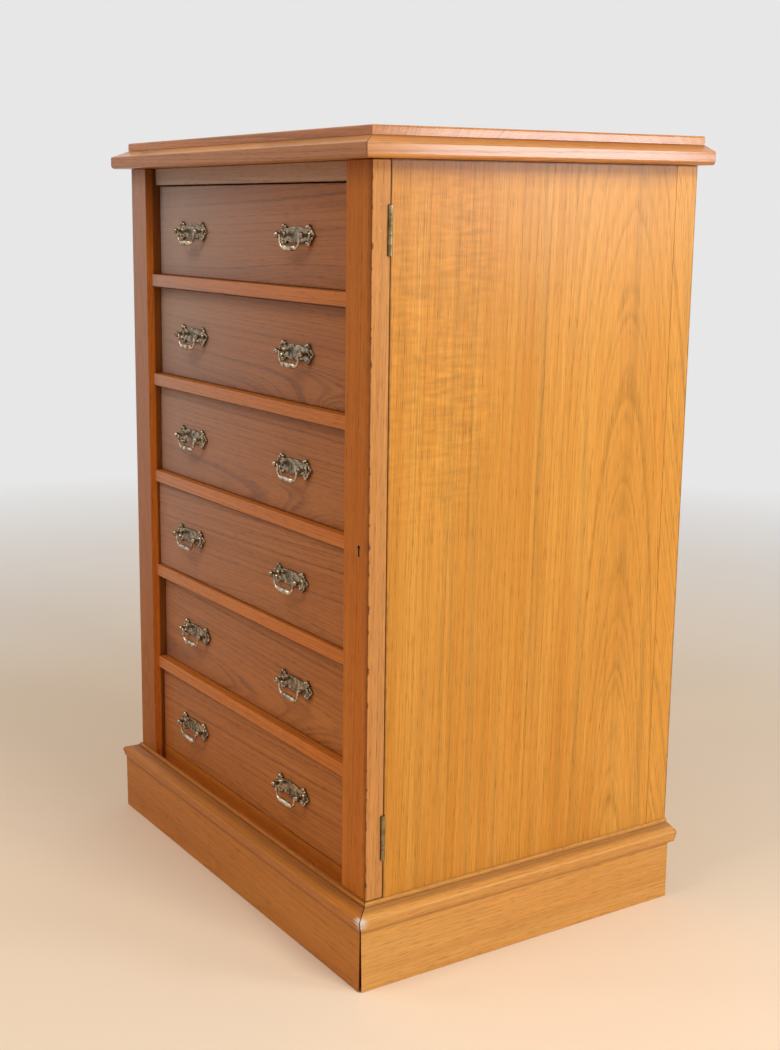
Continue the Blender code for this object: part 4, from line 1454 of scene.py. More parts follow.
@dataclass
class Carcass:
    """The sides with their back strips, the pilaster, the rail, the dividers and the boarded back."""

    planes: Planes
    strip: float = 37.5 * MM
    strip_gap: float = 0.45 * MM
    panel_rounding: float = 0.35 * MM
    strip_rounding: float = 0.4 * MM
    pilaster_rounding: float = 1.2 * MM
    rail_rounding: float = 0.8 * MM
    divider_rounding: float = 0.7 * MM
    stile_play: float = 0.3 * MM
    bolt_room: float = 9 * MM
    guide_height: float = 12 * MM
    guide_inset: float = 0.5 * MM
    guide_tenon: float = 5 * MM
    guide_rounding: float = 1.5 * MM
    plank_count: int = 5
    plank_chamfer: float = 1.2 * MM

    def build(self) -> None:
        """Makes the fixed woodwork behind the mouldings."""
        for node in ("side_left", "side_right"):
            self.side(node)
        self.pilaster()
        self.rail()
        for number in DIVIDERS:
            self.divider(number)
        self.back()

    def side(self, node: str) -> None:
        """One side: a broad panel, and a narrow strip along its back edge.

        Args:
            node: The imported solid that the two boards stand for.
        """
        box = Box.of(node)
        split = box.high.y - self.strip
        outer, inwards = (box.high.x, -1) if box.middle.x > 0 else (box.low.x, 1)
        panel_box = Box(box.low, Vector((box.high.x, split - self.strip_gap, box.high.z)))
        panel = rounded_board(node + "_panel", panel_box, self.panel_rounding)
        if node == "side_right":
            for hinge in HINGES:
                leaf = Box.of(f"{hinge}_hinge_fixed_leaf")
                low = (leaf.low.x - FIT, box.low.y - PAST, leaf.low.z - FIT)
                high = (box.high.x + PAST, box.low.y + self.planes.leaf_recess, leaf.high.z + FIT)
                carve(panel, block("leaf_recess", low, high))
        cut = Cut(
            Grain.Z,
            heart=(outer + inwards * 0.04, 0.165),
            taper=0.03,
            curl=0.26,
            curl_place=(outer, -0.17, 0.86),
            specks=0.12,
            # Painted shadow of the top moulding along the top of the side
            painted_shadow_right=(0.42, 0.035),
            flame=(0.07, 0.4),
        )
        fit(panel, "case", Slot.CASE, CASE_ASH.material(node + "_panel", cut, box), node)
        strip_box = Box(Vector((box.low.x, split, box.low.z)), box.high)
        strip = rounded_board(node + "_strip", strip_box, self.strip_rounding)
        heart = (outer + inwards * 0.03, split - 0.01)
        cut = Cut(Grain.Z, heart, taper=0.16, wander=0.03)
        fit(strip, "case", Slot.CASE, CASE_ASH.material(node + "_strip", cut, box), node)

    def pilaster(self) -> None:
        """The fixed pilaster on the left, with softened arrises."""
        box = self.planes.pilaster
        obj = rounded_board("left_pilaster_board", box, self.pilaster_rounding, 3)
        cut = Cut(
            Grain.Z,
            heart=(box.low.x + 0.02, box.low.y + 0.05),
            taper=0.03,
            # Painted shade on the inner face, darker towards the top
            painted_shadow_right=(0.75, 0.16),
            # Painted shade deep in the recess beside the drawers
            painted_recess_shade=(0.7, box.low.y + 10 * MM),
            # Lighter overall, so that the inner face reads as lit: painted light
            tone=1.3,
            # Painted grey sheen with the clouded polish
            bloom_and_sheen=0.5,
        )
        material = POST_ASH.material("left_pilaster", cut, box)
        fit(obj, "case", Slot.FRONT, material, "left_pilaster")

    def rail(self) -> None:
        """The rail over the top drawer."""
        box = self.planes.rail
        obj = rounded_board("top_rail_board", box, self.rail_rounding)
        # Painted grey sheen with the clouded polish on the rail's front
        cut = Cut(Grain.X, heart=(box.low.y + 0.03, 1.0), bloom_and_sheen=0.85)
        fit(obj, "case", Slot.FRONT, RAIL_SHEEN_AND_SHADE_ASH.material("top_rail", cut, box), "top_rail")

    def divider(self, number: int) -> None:
        """One divider under a drawer, with the bolt's mortise where the lock is.

        Args:
            number: Its number from the top.
        """
        node = f"divider_{number}"
        box = Box.of(node)
        board = self.shelf(node, box)
        if number == LOCK_DIVIDER:
            bolt, end = Box.of("lock_bolt"), self.planes.rail.high.x
            low = (end - self.bolt_room, bolt.low.y - FIT, bolt.low.z - FIT)
            high = (end + self.bolt_room, bolt.high.y + FIT, bolt.high.z + FIT)
            carve(board, block("bolt_mortise", low, high))
        cut = Cut(
            Grain.X,
            heart=(box.low.y + 0.04, box.low.z - 0.03 * number),
            # Painted shade with some dirt along the divider's lower edge
            shaded_seams=(box.low.z,),
            seam_reach=2.0 * MM,
            seam_strength=0.85,
            # Painted shade on the divider's top, in the gap under the drawer
            painted_ledge_shade=0.2,
            # Painted shade: dividers darker towards the top
            tone=0.90 + 0.035 * number,
            # Painted grey sheen with the clouded polish
            bloom_and_sheen=0.9,
        )
        fit(board, "case", Slot.FRONT, STAIN_AND_SHADE_ASH.material(node, cut, box), node)

    def shelf(self, node: str, box: Box) -> Solid:
        """A divider's board, full depth, which steps round the pilaster and the stile.

        Args:
            node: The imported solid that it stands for.
            box: Its box, with the guides on top.

        Returns:
            The board with its rounded front and its two drawer guides.
        """
        rail = self.planes.rail
        top = box.high.z - self.guide_height
        left_y = self.planes.side.low.y
        right_y = Box.of("right_stile").high.y + self.stile_play
        outline = [
            (rail.low.x, box.low.y),
            (rail.high.x, box.low.y),
            (rail.high.x, right_y),
            (box.high.x, right_y),
            (box.high.x, box.high.y),
            (box.low.x, box.high.y),
            (box.low.x, left_y),
            (rail.low.x, left_y),
        ]
        board = bar(node + "_board", outline, 2, box.low.z, top)

        def front_edge(a: Vector, b: Vector) -> bool:
            """True for the two long edges at the front."""
            return max(a.y, b.y) < box.low.y + FIT and abs(a.x - b.x) > LONG_EDGE

        round_edges(board, self.divider_rounding, 3, front_edge)
        inset = self.guide_inset
        guides = (
            (box.low.x + inset, self.planes.pilaster.high.x, left_y + inset),
            (self.planes.flap.low.x, box.high.x - inset, right_y + inset),
        )
        for low_x, high_x, low_y in guides:
            low = (low_x, low_y, top - self.guide_tenon)
            guide = block("guide", low, (high_x, box.high.y - inset, box.high.z))
            carve(board, round_edges(guide, self.guide_rounding, 2), operation="UNION")
        return board

    def back(self) -> None:
        """The back: upright boards side by side with chamfered joints."""
        box = Box.of("back_panel")
        width = box.size.x / self.plank_count
        for index in range(self.plank_count):
            low_x = box.low.x + index * width + FIT
            low = Vector((low_x, box.low.y, box.low.z))
            plank_box = Box(low, Vector((low_x + width - 2 * FIT, box.high.y, box.high.z)))
            plank = rounded_board(f"back_plank_{index + 1}", plank_box, self.plank_chamfer, 1)
            heart = (low_x + width * (0.2 + 0.15 * index), box.low.y - 0.05 - 0.01 * index)
            material = LINING.material(plank.name, Cut(Grain.Z, heart, taper=0.03), plank_box)
            fit(plank, "case", Slot.LINING, material, "back_panel")


@dataclass
class Hinge:
    """A butt hinge: a fixed leaf with the pin, and the flap's leaf, screwed on."""

    planes: Planes
    thickness: float = 1.6 * MM
    rounding: float = 0.25 * MM
    radius: float = 3.0 * MM
    play: float = 0.6 * MM
    knuckle_count: int = 5
    knuckle_gap: float = 0.3 * MM
    knuckle_chamfer: float = 0.35 * MM
    tab_overlap: float = 1.2 * MM
    tab_inset: float = 0.02 * MM
    screw_inset: float = 6.5 * MM
    screw_places: tuple[float, ...] = (0.17, 0.5, 0.83)
    screw_rim: Pair = (2.3 * MM, 2.6 * MM)
    rim_depth: float = 0.3 * MM
    slot_half: Place = (2.0 * MM, 0.4 * MM, 0.25 * MM)

    @property
    def clearance(self) -> float:
        """Room that the knuckles need round the pin."""
        return self.radius + self.play

    def axis(self, name: str) -> Vector:
        """Middle of the upper or the lower hinge's pin."""
        pivot = pivot_of("flap_hinge")
        return Vector((pivot.x, pivot.y, Box.of(f"{name}_hinge_fixed_leaf").middle.z))

    def build(self, name: str) -> None:
        """Makes both leaves, with their screws.

        Args:
            name: upper or lower.
        """
        fixed_y = self.planes.side.low.y
        flap_y = self.planes.flap.high.y - self.thickness
        leaves = (
            ("fixed", "case", 0, fixed_y, fixed_y, -1.0),
            ("flap", "flap", 1, flap_y, flap_y + self.thickness, 1.0),
        )
        for kind, body, first, low_y, face, outward in leaves:
            node = f"{name}_hinge_{kind}_leaf"
            leaf = self.leaf(node, low_y, self.axis(name), first)
            self.screw_seats(leaf, Box.of(node), face, outward)
            fit(leaf, body, Slot.HINGE, HINGE_BRASS.material(), node)

    def leaf(self, node: str, low_y: float, axis: Vector, first: int) -> Solid:
        """One leaf: a plate with every other knuckle on it.

        Args:
            node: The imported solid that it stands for.
            low_y: Front of its plate.
            axis: Middle of the pin.
            first: Which knuckle it starts with, 0 or 1.

        Returns:
            The leaf.
        """
        box, high_y = Box.of(node), low_y + self.thickness
        edge_x = axis.x - self.radius - self.play
        leaf = block(node + "_brass", (box.low.x, low_y, box.low.z), (edge_x, high_y, box.high.z))
        round_edges(leaf, self.rounding, 2)
        pitch = box.size.z / self.knuckle_count
        for index in range(first, self.knuckle_count, 2):
            low_z = box.low.z + index * pitch + self.knuckle_gap / 2
            high_z = low_z + pitch - self.knuckle_gap
            low = (edge_x - self.tab_overlap, low_y + self.tab_inset, low_z)
            tab = block("tab", low, (axis.x, high_y - self.tab_inset, high_z))
            profile = drum(self.radius, (high_z - low_z) / 2, self.knuckle_chamfer)
            centre = (axis.x, axis.y, (low_z + high_z) / 2)
            carve(leaf, tab, turned("knuckle", profile, centre, (0, 0, 1)), operation="UNION")
        return leaf

    def screw_seats(self, leaf: Solid, box: Box, face: float, outward: float) -> None:
        """Slotted screw heads set into a leaf, each inside a fine rim.

        Args:
            leaf: The leaf to cut.
            box: The leaf's box.
            face: The face that shows, in Y.
            outward: The way that it points along Y, -1 or 1.
        """
        (inner, outer), deep = self.screw_rim, self.rim_depth
        rim = [(inner, -deep), (inner, deep), (outer, deep), (outer, -deep), (inner, -deep)]
        half = Vector(self.slot_half)
        for share in self.screw_places:
            head = Vector((box.low.x + self.screw_inset, face, box.low.z + share * box.size.z))
            ring = turned("screw_rim", rim, head, (0.0, outward, 0.0))
            carve(leaf, ring, block("screw_slot", head - half, head + half))


@dataclass
class FlapWork:
    """The hinged flap with its worn edge, its hinges, its lock and its keyhole."""

    planes: Planes
    rounding: float = 1.4 * MM
    loops: int = 70
    wear_depth: float = 1.6 * MM
    wear_grain: float = 12 * MM
    wear_reach: float = 2 * MM
    wear_inset: float = 3 * MM
    bruise: float = 1.3 * MM
    bruise_depth: float = 13.5 * MM
    bruise_drops: Pair = (53 * MM, 85 * MM)
    keyhole_setback: float = 22.6 * MM
    keyhole_radius: float = 2.7 * MM
    keyhole_slot: float = 3.0 * MM
    keyhole_rise: float = 4.5 * MM
    keyhole_drop: float = 8.0 * MM
    lining_wall: float = 0.45 * MM
    lining_play: float = 0.05 * MM
    lining_setback: float = 0.1 * MM
    bolt_play: float = 0.4 * MM
    lock_rounding: float = 0.6 * MM
    bolt_rounding: float = 0.5 * MM

    def build(self) -> None:
        """Makes the flap and the metalwork on it."""
        hinge = Hinge(self.planes)
        self.board(hinge)
        self.keyhole_lining()
        self.lock()
        for name in HINGES:
            hinge.build(name)

    def keyhole_outline(self, grow: float) -> list[Pair]:
        """A keyhole's outline in X and Z.

        Args:
            grow: Margin round it.

        Returns:
            Its points in order.
        """
        x = self.planes.half_width - self.keyhole_setback
        z = Box.of("lock_case").middle.z
        radius, slot = self.keyhole_radius + grow, self.keyhole_slot / 2 + grow
        gap = math.degrees(math.asin(slot / radius))
        outline = arc((x, z + self.keyhole_rise), radius, gap - 90, 270 - gap, 24)
        foot = z - self.keyhole_drop - grow
        return outline + [(x - slot, foot), (x + slot, foot)]

    def board(self, hinge: Hinge) -> None:
        """The flap's board: keyhole, lock mortise and hinge seats cut, front corner worn.

        Args:
            hinge: The hinges' measures.
        """
        box, lock = self.planes.flap, Box.of("lock_case")
        obj = rounded_board("flap_board", box, self.rounding, 3)
        tools = []
        for name in HINGES:
            leaf, axis = Box.of(f"{name}_hinge_flap_leaf"), hinge.axis(name)
            foot = leaf.low.z - FIT
            far = (box.high.x + PAST, box.high.y + PAST, leaf.high.z + FIT)
            low = (leaf.low.x - FIT, box.high.y - self.planes.leaf_recess, foot)
            tools.append(block("leaf_seat", low, far))
            low = (axis.x - hinge.clearance, axis.y - hinge.clearance, foot)
            tools.append(block("knuckle_seat", low, far))
        low = lock.low - Vector((PAST, FIT, FIT))
        tools.append(block("lock_mortise", low, lock.high + Vector((FIT, FIT, FIT))))
        outline = self.keyhole_outline(self.lining_wall + self.lining_play)
        tools.append(bar("keyhole", outline, 1, box.low.y - PAST, lock.low.y + 2 * MM))
        carve(obj, *tools)
        step = box.size.z / self.loops
        score(obj, 2, [box.low.z + step * (i + 0.5) for i in range(self.loops)])

        def corner(co: Vector) -> bool:
            """True along the outer front corner, short of the ends."""
            inside = box.low.z + self.wear_inset < co.z < box.high.z - self.wear_inset
            at_side = co.x > box.high.x - self.wear_reach
            return inside and at_side and co.y < box.low.y + self.wear_reach

        wear_edge(obj, corner, self.wear_depth, self.wear_grain)
        bruise_y = box.low.y + self.bruise_depth
        cut = Cut(
            Grain.Z,
            heart=(box.high.x + 0.12, box.low.y + 0.14),
            taper=0.01,
            arris=(box.high.x, box.low.y),
            bruises=tuple(
                ((box.high.x, bruise_y, box.high.z - drop), self.bruise, 0.3)
                for drop in self.bruise_drops
            ),
            # Painted shadow of the top moulding, darker towards the top of the front
            painted_shadow_front=(0.22, 0.6),
        )
        fit(obj, "flap", Slot.FRONT, FRAME_ASH.material("flap", cut, box), "flap")

    def keyhole_lining(self) -> None:
        """The thin brass lining let into the keyhole."""
        low_y = self.planes.flap.low.y + self.lining_setback
        high_y = Box.of("lock_case").low.y - FIT
        outer = bar("keyhole_lining", self.keyhole_outline(self.lining_wall), 1, low_y, high_y)
        carve(outer, bar("bore", self.keyhole_outline(0.0), 1, low_y - PAST, high_y + PAST))
        fit(outer, "flap", Slot.HINGE, HINGE_BRASS.material())

    def lock(self) -> None:
        """The lock's case, with the bolt's channel and the keyway, and its bolt."""
        box, bolt, play = Box.of("lock_case"), Box.of("lock_bolt"), self.bolt_play
        case = rounded_board("lock_case_body", box, self.lock_rounding)
        low = bolt.low - Vector((PAST / 2, play, play))
        channel = block("channel", low, bolt.high + Vector((play, play, play)))
        keyway = bar("keyway", self.keyhole_outline(0.0), 1, box.low.y - PAST / 2, box.middle.y)
        carve(case, channel, keyway)
        fit(case, "flap", Slot.LOCK, LOCK_IRON.material(), "lock_case")
        tongue = rounded_board("lock_bolt_tongue", bolt, self.bolt_rounding)
        fit(tongue, "lock_bolt", Slot.LOCK, HINGE_BRASS.material(), "lock_bolt")


@dataclass
class Handle:
    """A cast handle: a lobed plate with two ball posts, and a bail with a barrel grip.

    Each row of lobes gives its distance beyond the post, its height, its half size and its rise.
    """

    spacing: float = 65 * MM
    seat: float = 0.3 * MM
    thickness: float = 3.0 * MM
    half_width: float = 47 * MM
    half_height: float = 10.5 * MM
    waist: float = 8.2 * MM
    lobe: float = 3.4 * MM
    lobe_sunk: float = 0.6 * MM
    lobes: tuple[tuple[float, ...], ...] = (
        (0.0, 11.2 * MM, 3.3 * MM, 3.4 * MM),
        (-4.8 * MM, 10.2 * MM, 2.2 * MM, 2.4 * MM),
        (4.2 * MM, 8.6 * MM, 2.3 * MM, 2.4 * MM),
        (8.6 * MM, 3.6 * MM, 1.9 * MM, 1.9 * MM),
    )
    rim_rounding: float = 0.8 * MM
    rim_width: float = 1.1 * MM
    field_slope: float = 0.4 * MM
    field_depth: float = 0.55 * MM
    standoff: float = 13.5 * MM
    ball: float = 4.2 * MM
    neck: float = 2.4 * MM
    collar: float = 4.6 * MM
    pin: float = 1.3 * MM
    pin_play: float = 0.35 * MM
    arm: float = 1.7 * MM
    grip: float = 4.1 * MM
    grip_length: float = 34 * MM
    drop: float = 16.8 * MM
    models: dict[str, Solid] = field(default_factory=dict)

    def build(self) -> None:
        """Models the plate and the bail once, at the origin."""
        self.models = {"plate": self.plate(), "bail": self.bail()}

    def outline(self) -> list[Pair]:
        """The plate's outline without its lobes.

        Returns:
            Points in X and Z, in order.
        """
        post = self.spacing / 2
        quarter = [
            (0.0, self.half_height),
            (post * 0.28, self.half_height * 0.99),
            (post * 0.5, self.half_height * 0.93),
            (post - 3.1 * self.lobe, self.waist),
            (post - 1.7 * self.lobe, (self.waist + self.half_height) / 2),
            (post, self.half_height + 0.4 * self.lobe),
            (post + 1.5 * self.lobe, self.waist),
            (self.half_width, 0.0),
        ]
        upper = [(-x, z) for x, z in reversed(quarter[1:])] + quarter
        return upper + [(x, -z) for x, z in reversed(upper[1:-1])]

    def plate(self) -> Solid:
        """The plate with its rim, its lobes and its bored posts.

        Returns:
            The plate, with the drawer's face at Y 0.
        """
        front = -self.seat - self.thickness
        plate = bar("plate", self.outline(), 1, front, -self.seat)

        def rim(a: Vector, b: Vector) -> bool:
            """True for the edges round the front face."""
            return max(a.y, b.y) < front + FIT

        round_edges(plate, self.rim_rounding, 2, rim)
        self.sink_field(plate, front)
        post = self.spacing / 2
        raised = []
        for beyond, height, half, rise in self.lobes:
            for side in (-1, 1):
                for level in (-1, 1):
                    centre = (side * (post + beyond), front + self.lobe_sunk, level * height)
                    raised.append(dome("lobe", centre, (half, rise, half)))
        carve(plate, *raised, operation="UNION")
        for side in (-1, 1):
            shaft = turned("post", self.post_profile(), (side * post, 0, 0), (0, -1, 0))
            carve(plate, shaft, operation="UNION")
            deep, mouth = side * (post + self.pin), side * (post - 2 * self.ball)
            bore = drum(self.pin + self.pin_play, abs(deep - mouth) / 2)
            centre = ((deep + mouth) / 2, -self.standoff, 0.0)
            carve(plate, turned("socket", bore, centre, (1, 0, 0), 16))
        return plate

    def sink_field(self, plate: Solid, front: float) -> None:
        """Insets the plate's front face and sinks it, which leaves a raised rim.

        Args:
            plate: The plate.
            front: Its front face, in Y.
        """
        with editing(plate, "DESELECT"):
            bpy.ops.mesh.select_mode(type="FACE")
            mesh = bmesh.from_edit_mesh(plate.data)
            for face in mesh.faces:
                face.select = face.normal.y < -0.99 and face.calc_center_median().y < front + FIT
            mesh.select_flush_mode()
            bmesh.update_edit_mesh(plate.data)
            bpy.ops.mesh.inset(thickness=self.rim_width, depth=0.0)
            bpy.ops.mesh.inset(thickness=self.field_slope, depth=-self.field_depth)

    def post_profile(self) -> list[Pair]:
        """A post from inside the plate out to its ball.

        Returns:
            (radius, distance from the drawer) points.
        """
        top = self.seat + self.thickness
        lean = math.degrees(math.asin(self.neck / self.ball))
        ball = arc((0.0, self.standoff), self.ball, lean - 90, 90, 12)
        return [
            (0.0, top - 1.5 * MM),
            (self.collar, top - 1.5 * MM),
            (self.collar, top + 0.7 * MM),
            (self.collar - 0.9 * MM, top + 1.6 * MM),
            (self.neck + 0.3 * MM, top + 2.2 * MM),
            (self.neck, top + 3.4 * MM),
            *ball[:-1],
            (0.0, self.standoff + self.ball),
        ]

    def bail_path(self) -> list[Place]:
        """The bail from pin to pin: arms that bow down into a beaded, swelling grip.

        Returns:
            (X, Z, radius) points.
        """
        post, drop, arm = self.spacing / 2, self.drop, self.arm
        shoulder = post - self.ball - 1.2 * MM - arm
        grip = self.grip_length / 2
        bow = shoulder - grip
        half = [
            (post + self.pin - 0.4 * MM, 0.0, self.pin),
            (shoulder + arm * 1.1, 0.0, self.pin),
            (shoulder + arm * 0.35, -arm * 0.35, arm * 0.95),
            (shoulder, -arm * 1.3, arm),
            (shoulder + arm * 0.1, -0.30 * drop, arm * 1.05),
            (shoulder - 0.02 * arm, -0.50 * drop, arm),
            (shoulder - 0.18 * bow, -0.68 * drop, arm),
            (shoulder - 0.42 * bow, -0.84 * drop, arm),
            (shoulder - 0.72 * bow, -0.96 * drop, arm),
            (grip + 0.1 * MM, -drop, arm * 1.05),
        ]
        beads = ((0.5, 0.66), (1.2, 0.72), (1.9, 0.60), (3.0, 0.80), (5.5, 0.95), (10.0, 1.0))
        half += [(grip - inset * MM, -drop, self.grip * share) for inset, share in beads]
        return half + [(-x, z, radius) for x, z, radius in reversed(half)]

    def bail(self) -> Solid:
        """The bail: a wire of changing thickness, with its axis through the origin.

        Returns:
            The bail.
        """
        path = self.bail_path()
        curve = bpy.data.curves.new("bail", "CURVE")
        curve.dimensions = "3D"
        curve.bevel_depth = 1.0
        curve.bevel_resolution = 4
        curve.use_fill_caps = True
        spline = curve.splines.new("POLY")
        spline.points.add(len(path) - 1)
        for point, (x, z, radius) in zip(spline.points, path):
            point.co = (x, 0.0, z, 1.0)
            point.radius = radius
        obj = bpy.data.objects.new("bail", curve)
        bpy.context.scene.collection.objects.link(obj)
        make_active(obj)
        bpy.ops.object.convert(target="MESH")
        bpy.ops.object.mode_set(mode="EDIT")
        close_up(merge=True)
        return obj

    def mount(self, drawer: int, side: str, brass: dict[str, Material]) -> None:
        """Puts a copy of the plate and the bail on a drawer.

        Args:
            drawer: The drawer's number.
            side: left or right.
            brass: Their materials.
        """
        body = f"drawer_{drawer}"
        place = f"{body}_{side}"
        pivot = pivot_of(place + "_bail_swing")
        foot = pivot + Vector((0.0, self.standoff, 0.0))
        rows = (("plate", body, foot), ("bail", place + "_bail", pivot))
        for name, carrier, offset in rows:
            piece = copy_of(self.models[name], f"{place}_handle_{name}", offset)
            fit(piece, carrier, Slot.HANDLE, brass[name], f"{place}_{name}")


@dataclass
class DrawerWork:
    """Six drawers: a polished front lapped over dovetailed sides, a back and a bottom.

    The last three fields have one value for each drawer: where its front's log had its heart, above
    its middle and behind its face, and where along X the log swelled.
    """

    handle: Handle
    side_thickness: float = 10 * MM
    bottom_thickness: float = 6.5 * MM
    bottom_rise: float = 1.5 * MM
    back_drop: float = 4 * MM
    tail_count: int = 4
    tail_length: float = 13 * MM
    tail_root: float = 17 * MM
    tail_tip: float = 22 * MM
    tail_overlap: float = 2 * MM
    socket_play: float = 0.15 * MM
    socket_reach: float = 5 * MM
    top_play: float = 0.8 * MM
    front_rounding: float = 0.7 * MM
    side_rounding: float = 2.2 * MM
    back_rounding: float = 0.8 * MM
    bottom_chamfer: float = 0.5 * MM
    heart_rises: tuple[float, ...] = (0.13, -0.10, -0.055, 0.12, -0.05, 0.11)
    heart_depths: tuple[float, ...] = (0.09, 0.10, 0.06, 0.08, 0.07, 0.09)
    swells: tuple[float, ...] = (0.16, 0.24, 0.26, 0.06, 0.27, -0.08)

    def build(self) -> None:
        """Models each board once, on the top drawer, and copies it to every drawer."""
        front_box = Box.of("drawer_1_front")
        models = self.boards(front_box, Box.of("drawer_1_box"))
        brass = {"plate": HANDLE_BRASS.material(), "bail": BAIL_BRASS.material()}
        for number in DRAWERS:
            body = f"drawer_{number}"
            offset = Box.of(body + "_front").low - front_box.low
            for name, obj in models.items():
                self.dress(copy_of(obj, f"{body}_{name}", offset), name, number)
            for side in ("left", "right"):
                self.handle.mount(number, side, brass)
        discard(*models.values())

    def boards(self, front_box: Box, tray: Box) -> dict[str, Solid]:
        """The five boards of one drawer.

        Args:
            front_box: Box of the front.
            tray: Box of the sides, back and bottom together.

        Returns:
            The boards by name.
        """
        lowered = Box(front_box.low, front_box.high - Vector((0.0, 0.0, self.top_play)))
        boards = {"front_board": rounded_board("front_board", lowered, self.front_rounding, 3)}
        thick = self.side_thickness

        def rim(a: Vector, b: Vector) -> bool:
            """True for the two long upper edges."""
            return min(a.z, b.z) > tray.high.z - FIT and abs(a.y - b.y) > LONG_EDGE

        pitch = tray.size.z / self.tail_count
        for name, low_x in (("side_left", tray.low.x), ("side_right", tray.high.x - thick)):
            low = (low_x, tray.low.y, tray.low.z)
            board = block(name, low, (low_x + thick, tray.high.y, tray.high.z))
            boards[name] = round_edges(board, self.side_rounding, 3, rim)
            for index in range(self.tail_count):
                z = tray.low.z + pitch * (index + 0.5)
                tip_y = front_box.high.y - self.tail_length
                socket = self.tail(low_x, z, (front_box.high.y + MM, tip_y), self.socket_play)
                carve(boards["front_board"], socket)
                tail = self.tail(low_x, z, (tray.low.y + self.tail_overlap, tip_y))
                carve(board, tail, operation="UNION")
        inner_low, inner_high = tray.low.x + thick + FIT, tray.high.x - thick - FIT
        floor_low = tray.low.z + self.bottom_rise
        floor_high = floor_low + self.bottom_thickness
        low = (inner_low, tray.high.y - thick, floor_high + FIT)
        back = block("back_board", low, (inner_high, tray.high.y, tray.high.z - self.back_drop))
        boards["back_board"] = round_edges(back, self.back_rounding, 2)
        low = (inner_low, tray.low.y + FIT, floor_low)
        bottom = block("bottom_board", low, (inner_high, tray.high.y, floor_high))
        boards["bottom_board"] = round_edges(bottom, self.bottom_chamfer, 1)
        return boards

    def tail(self, low_x: float, z: float, ends: Pair, grow: float = 0.0) -> Solid:
        """One dovetail, wider at its tip, or the socket for it.

        Args:
            low_x: Lower face of the drawer's side along X.
            z: Its middle height.
            ends: Y of its root and of its tip.
            grow: Margin for a socket, which also opens past the side's outer face.

        Returns:
            The tail as a solid.
        """
        root, tip = self.tail_root / 2 + grow, self.tail_tip / 2 + grow
        root_y, tip_y = ends[0], ends[1] - grow
        outline = [(root_y, z - root), (root_y, z + root), (tip_y, z + tip), (tip_y, z - tip)]
        outer = self.socket_reach if grow else 0.0
        low = low_x - (outer if low_x < 0 else grow)
        high = low_x + self.side_thickness + (outer if low_x > 0 else grow)
        return bar("tail", outline, 0, low, high)

    def dress(self, board: Solid, name: str, number: int) -> None:
        """Gives one board its wood and its body.

        Args:
            board: The board.
            name: Its name within the drawer.
            number: The drawer's number.
        """
        body = f"drawer_{number}"
        front, tray = Box.of(body + "_front"), Box.of(body + "_box")
        if name == "front_board":
            row = number - 1
            cut = Cut(
                Grain.X,
                heart=(front.low.y + self.heart_depths[row], front.middle.z + self.heart_rises[row]),
                taper=0.012 + 0.006 * (number % 3),
                swell=(self.swells[row], front.low.y, front.low.z - 2 * MM),
                # Painted shade: fronts darker towards the top
                tone=0.78 + 0.045 * number,
                # Painted grey sheen with the clouded polish, strongest at the top left
                bloom_and_sheen=1.0,
            )
            material = DRAWER_ASH.material(board.name, cut, front)
            fit(board, body, Slot.FRONT, material, body + "_front")
            return
        cuts = {
            "side_left": Cut(Grain.Y, heart=(tray.low.x + 0.05, tray.middle.z + 0.02)),
            "side_right": Cut(Grain.Y, heart=(tray.high.x - 0.06, tray.middle.z - 0.02)),
            "back_board": Cut(Grain.X, heart=(tray.high.y - 0.06, tray.middle.z)),
            "bottom_board": Cut(Grain.Y, heart=(tray.middle.x + 0.05, tray.low.z - 0.08)),
        }
        fit(board, body, Slot.LINING, LINING.material(board.name, cuts[name]), body + "_box")


@dataclass
class CarriedSolids:
    """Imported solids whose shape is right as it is, which only need their finish."""

    stile: Box = field(default_factory=lambda: Box.of("right_stile"))
    bottom: Box = field(default_factory=lambda: Box.of("bottom_board"))

    def dress(self) -> None:
        """Gives each one its own wood."""
        stile_cut = Cut(Grain.Z, heart=(self.stile.low.x, self.stile.high.y + 0.05))
        bottom_cut = Cut(Grain.X, heart=(self.bottom.low.y + 0.05, 0.05))
        woods = {
            "right_stile": CASE_ASH.material("right_stile", stile_cut, self.stile),
            "bottom_board": STAIN_AND_SHADE_ASH.material("bottom_board", bottom_cut, self.bottom),
        }
        for node, material in woods.items():
            solid = frame["nodes"][node]
            solid.data.materials.clear()
            solid.data.materials.append(material)
            LOG.info("%s keeps its solid", node)


# The studio


@dataclass(frozen=True)
class SoftBox:
    """A soft light: a bright rectangle that faces a target."""

    name: str
    place: Place
    target: Place
    size: Pair
    power: float
    colour: Colour

    def hang(self) -> None:
        """Adds the light to the scene."""
        lamp = bpy.data.lights.new(self.name, "AREA")
        lamp.shape = "RECTANGLE"
        lamp.size, lamp.size_y = self.size
        lamp.energy = self.power
        lamp.color = self.colour
        obj = bpy.data.objects.new(self.name, lamp)
        obj.location = self.place
        aim = Vector(self.target) - Vector(self.place)
        obj.rotation_euler = aim.to_track_quat("-Z", "Y").to_euler()
        bpy.context.scene.collection.objects.link(obj)


